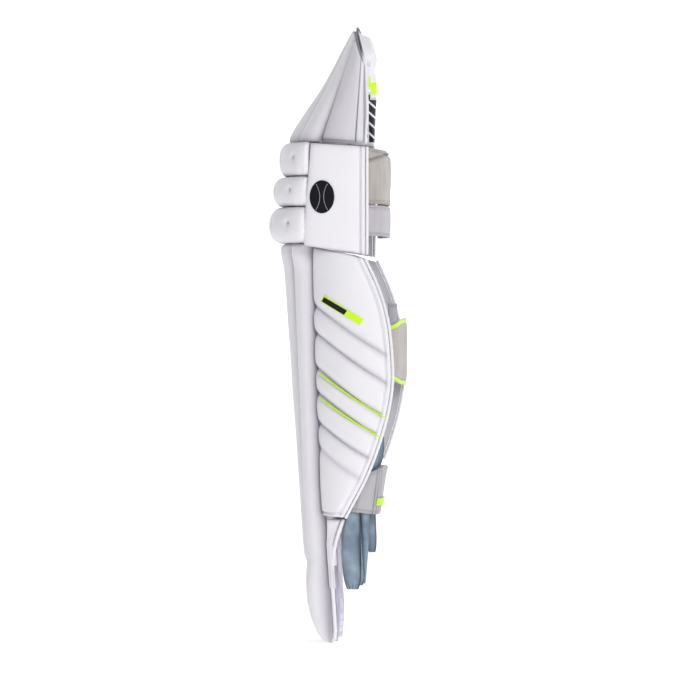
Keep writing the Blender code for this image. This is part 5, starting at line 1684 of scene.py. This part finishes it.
# %% Finishes for the rest
KEPT = {
    "cane": ("shin_cane_centre", "shin_cane_outer", "shin_cane_inner"),
    "foam": ("knee_roll_core_top", "knee_roll_core_middle", "knee_roll_core_bottom"),
    "white": ("shin_board",),
    "board": ("knee_board", "top_hat_board"),
    "hook_tape": (
        "calf_loop_patch", "knee_loop_patch",
        "knee_strap_hook", "calf_strap_hook", "ankle_strap_hook"
    ),
}
FINISHES = {"cane": cane, "foam": foam, "white": white, "board": board, "hook_tape": hook_tape}
for name, nodes in KEPT.items():
    for node in nodes:
        for place_ in frame["nodes"][node].material_slots:
            place_.material = FINISHES[name]
        print(node, "is finished in", name)


# %% [markdown]
# ## The stage, the light and the camera
#
# A pale sweep runs from the floor up behind the pad, so no horizon shows. Four broad suns, from
# the camera's side, the rear, the front and the top, keep every face light and leave shade only in the
# seams. The camera stands far off with a long lens, at the height of the pad's middle, and looks straight
# at its outer side.

# %% Stage
def sweep():
    """A floor that curves up into a wall 12 m behind the pad. Both are 32 m wide."""
    turn = np.linspace(0, np.pi / 2, 24)
    arc = np.stack([-10000 - 2000 * np.sin(turn), 2000 * (1 - np.cos(turn))], 1)
    line = np.concatenate([[[16000, 0]], arc, [[-12000, 16000]]])
    across = np.linspace(-16000, 16000, 3)
    x = np.broadcast_to(line[:, :1], (len(line), 3))
    z = np.broadcast_to(line[:, 1:], (len(line), 3)) + floor_z
    return place(x, across[None], z)


floor_z = cad_box[0][2] / MM - 1.0
paper = Finish("pale paper", 0.9, Specular_IOR_Level=0.1, Emission_Strength=0.5)
tone = paper.mix(paper.noise(0.5), (0.9, 0.9, 0.905), (0.92, 0.92, 0.925))
grid = full(sweep())
faces_ = grid_faces(*grid.shape[:2], False)
backdrop = build("backdrop", grid.reshape(-1, 6), faces_, paper.paint(Base_Color=tone, Emission_Color=tone))
backdrop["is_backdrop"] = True

world = bpy.data.worlds.new("soft room")
bpy.context.scene.world = world
world.use_nodes = True
world.node_tree.nodes["Background"].inputs["Color"].default_value = (0.95, 0.96, 1.0, 1.0)
world.node_tree.nodes["Background"].inputs["Strength"].default_value = 0.17
bpy.context.scene.view_settings.view_transform = "Standard"


def sun(name, towards, angle, strength):
    """A soft sun: its light comes from the direction towards, spread over an angle in degrees."""
    light = bpy.data.lights.new(name, "SUN")
    light.angle, light.energy = math.radians(angle), strength
    stand = bpy.data.objects.new(name, light)
    stand.rotation_euler = Vector(towards).to_track_quat("Z", "Y").to_euler()
    bpy.context.collection.objects.link(stand)


sun("key", (0.9, 0.28, 0.42), 20, 0.98)
sun("rear", (0.5, 0.82, 0.3), 40, 0.7)
sun("front", (0.75, -0.6, 0.35), 40, 0.28)
sun("top", (0.1, 0.1, 1.0), 50, 0.45)

# %% Camera
DISTANCE, WIDTH, BEARING = 6.0, 0.8272, 93.5
aim = Vector((0.0, 0.0141, -0.1808))
turn = math.radians(BEARING)
back = Vector((math.sin(turn), -math.cos(turn), 0.0))
lens = bpy.data.cameras.new("camera")
lens.sensor_width, lens.lens = 36.0, 36.0 * DISTANCE / WIDTH
eye = bpy.data.objects.new("camera", lens)
eye.location = aim + back * DISTANCE
eye.rotation_euler = (-back).to_track_quat("-Z", "Y").to_euler()
lens.clip_end = 100.0
bpy.context.collection.objects.link(eye)
bpy.context.scene.camera = eye
print("The lens is", round(lens.lens), "mm")

# %% Finish
seen_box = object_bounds()
sizes = {"cad": [[round(c, 5) for c in corner] for corner in cad_box],
         "visual": [[round(c, 5) for c in corner] for corner in seen_box]}
print(sizes)
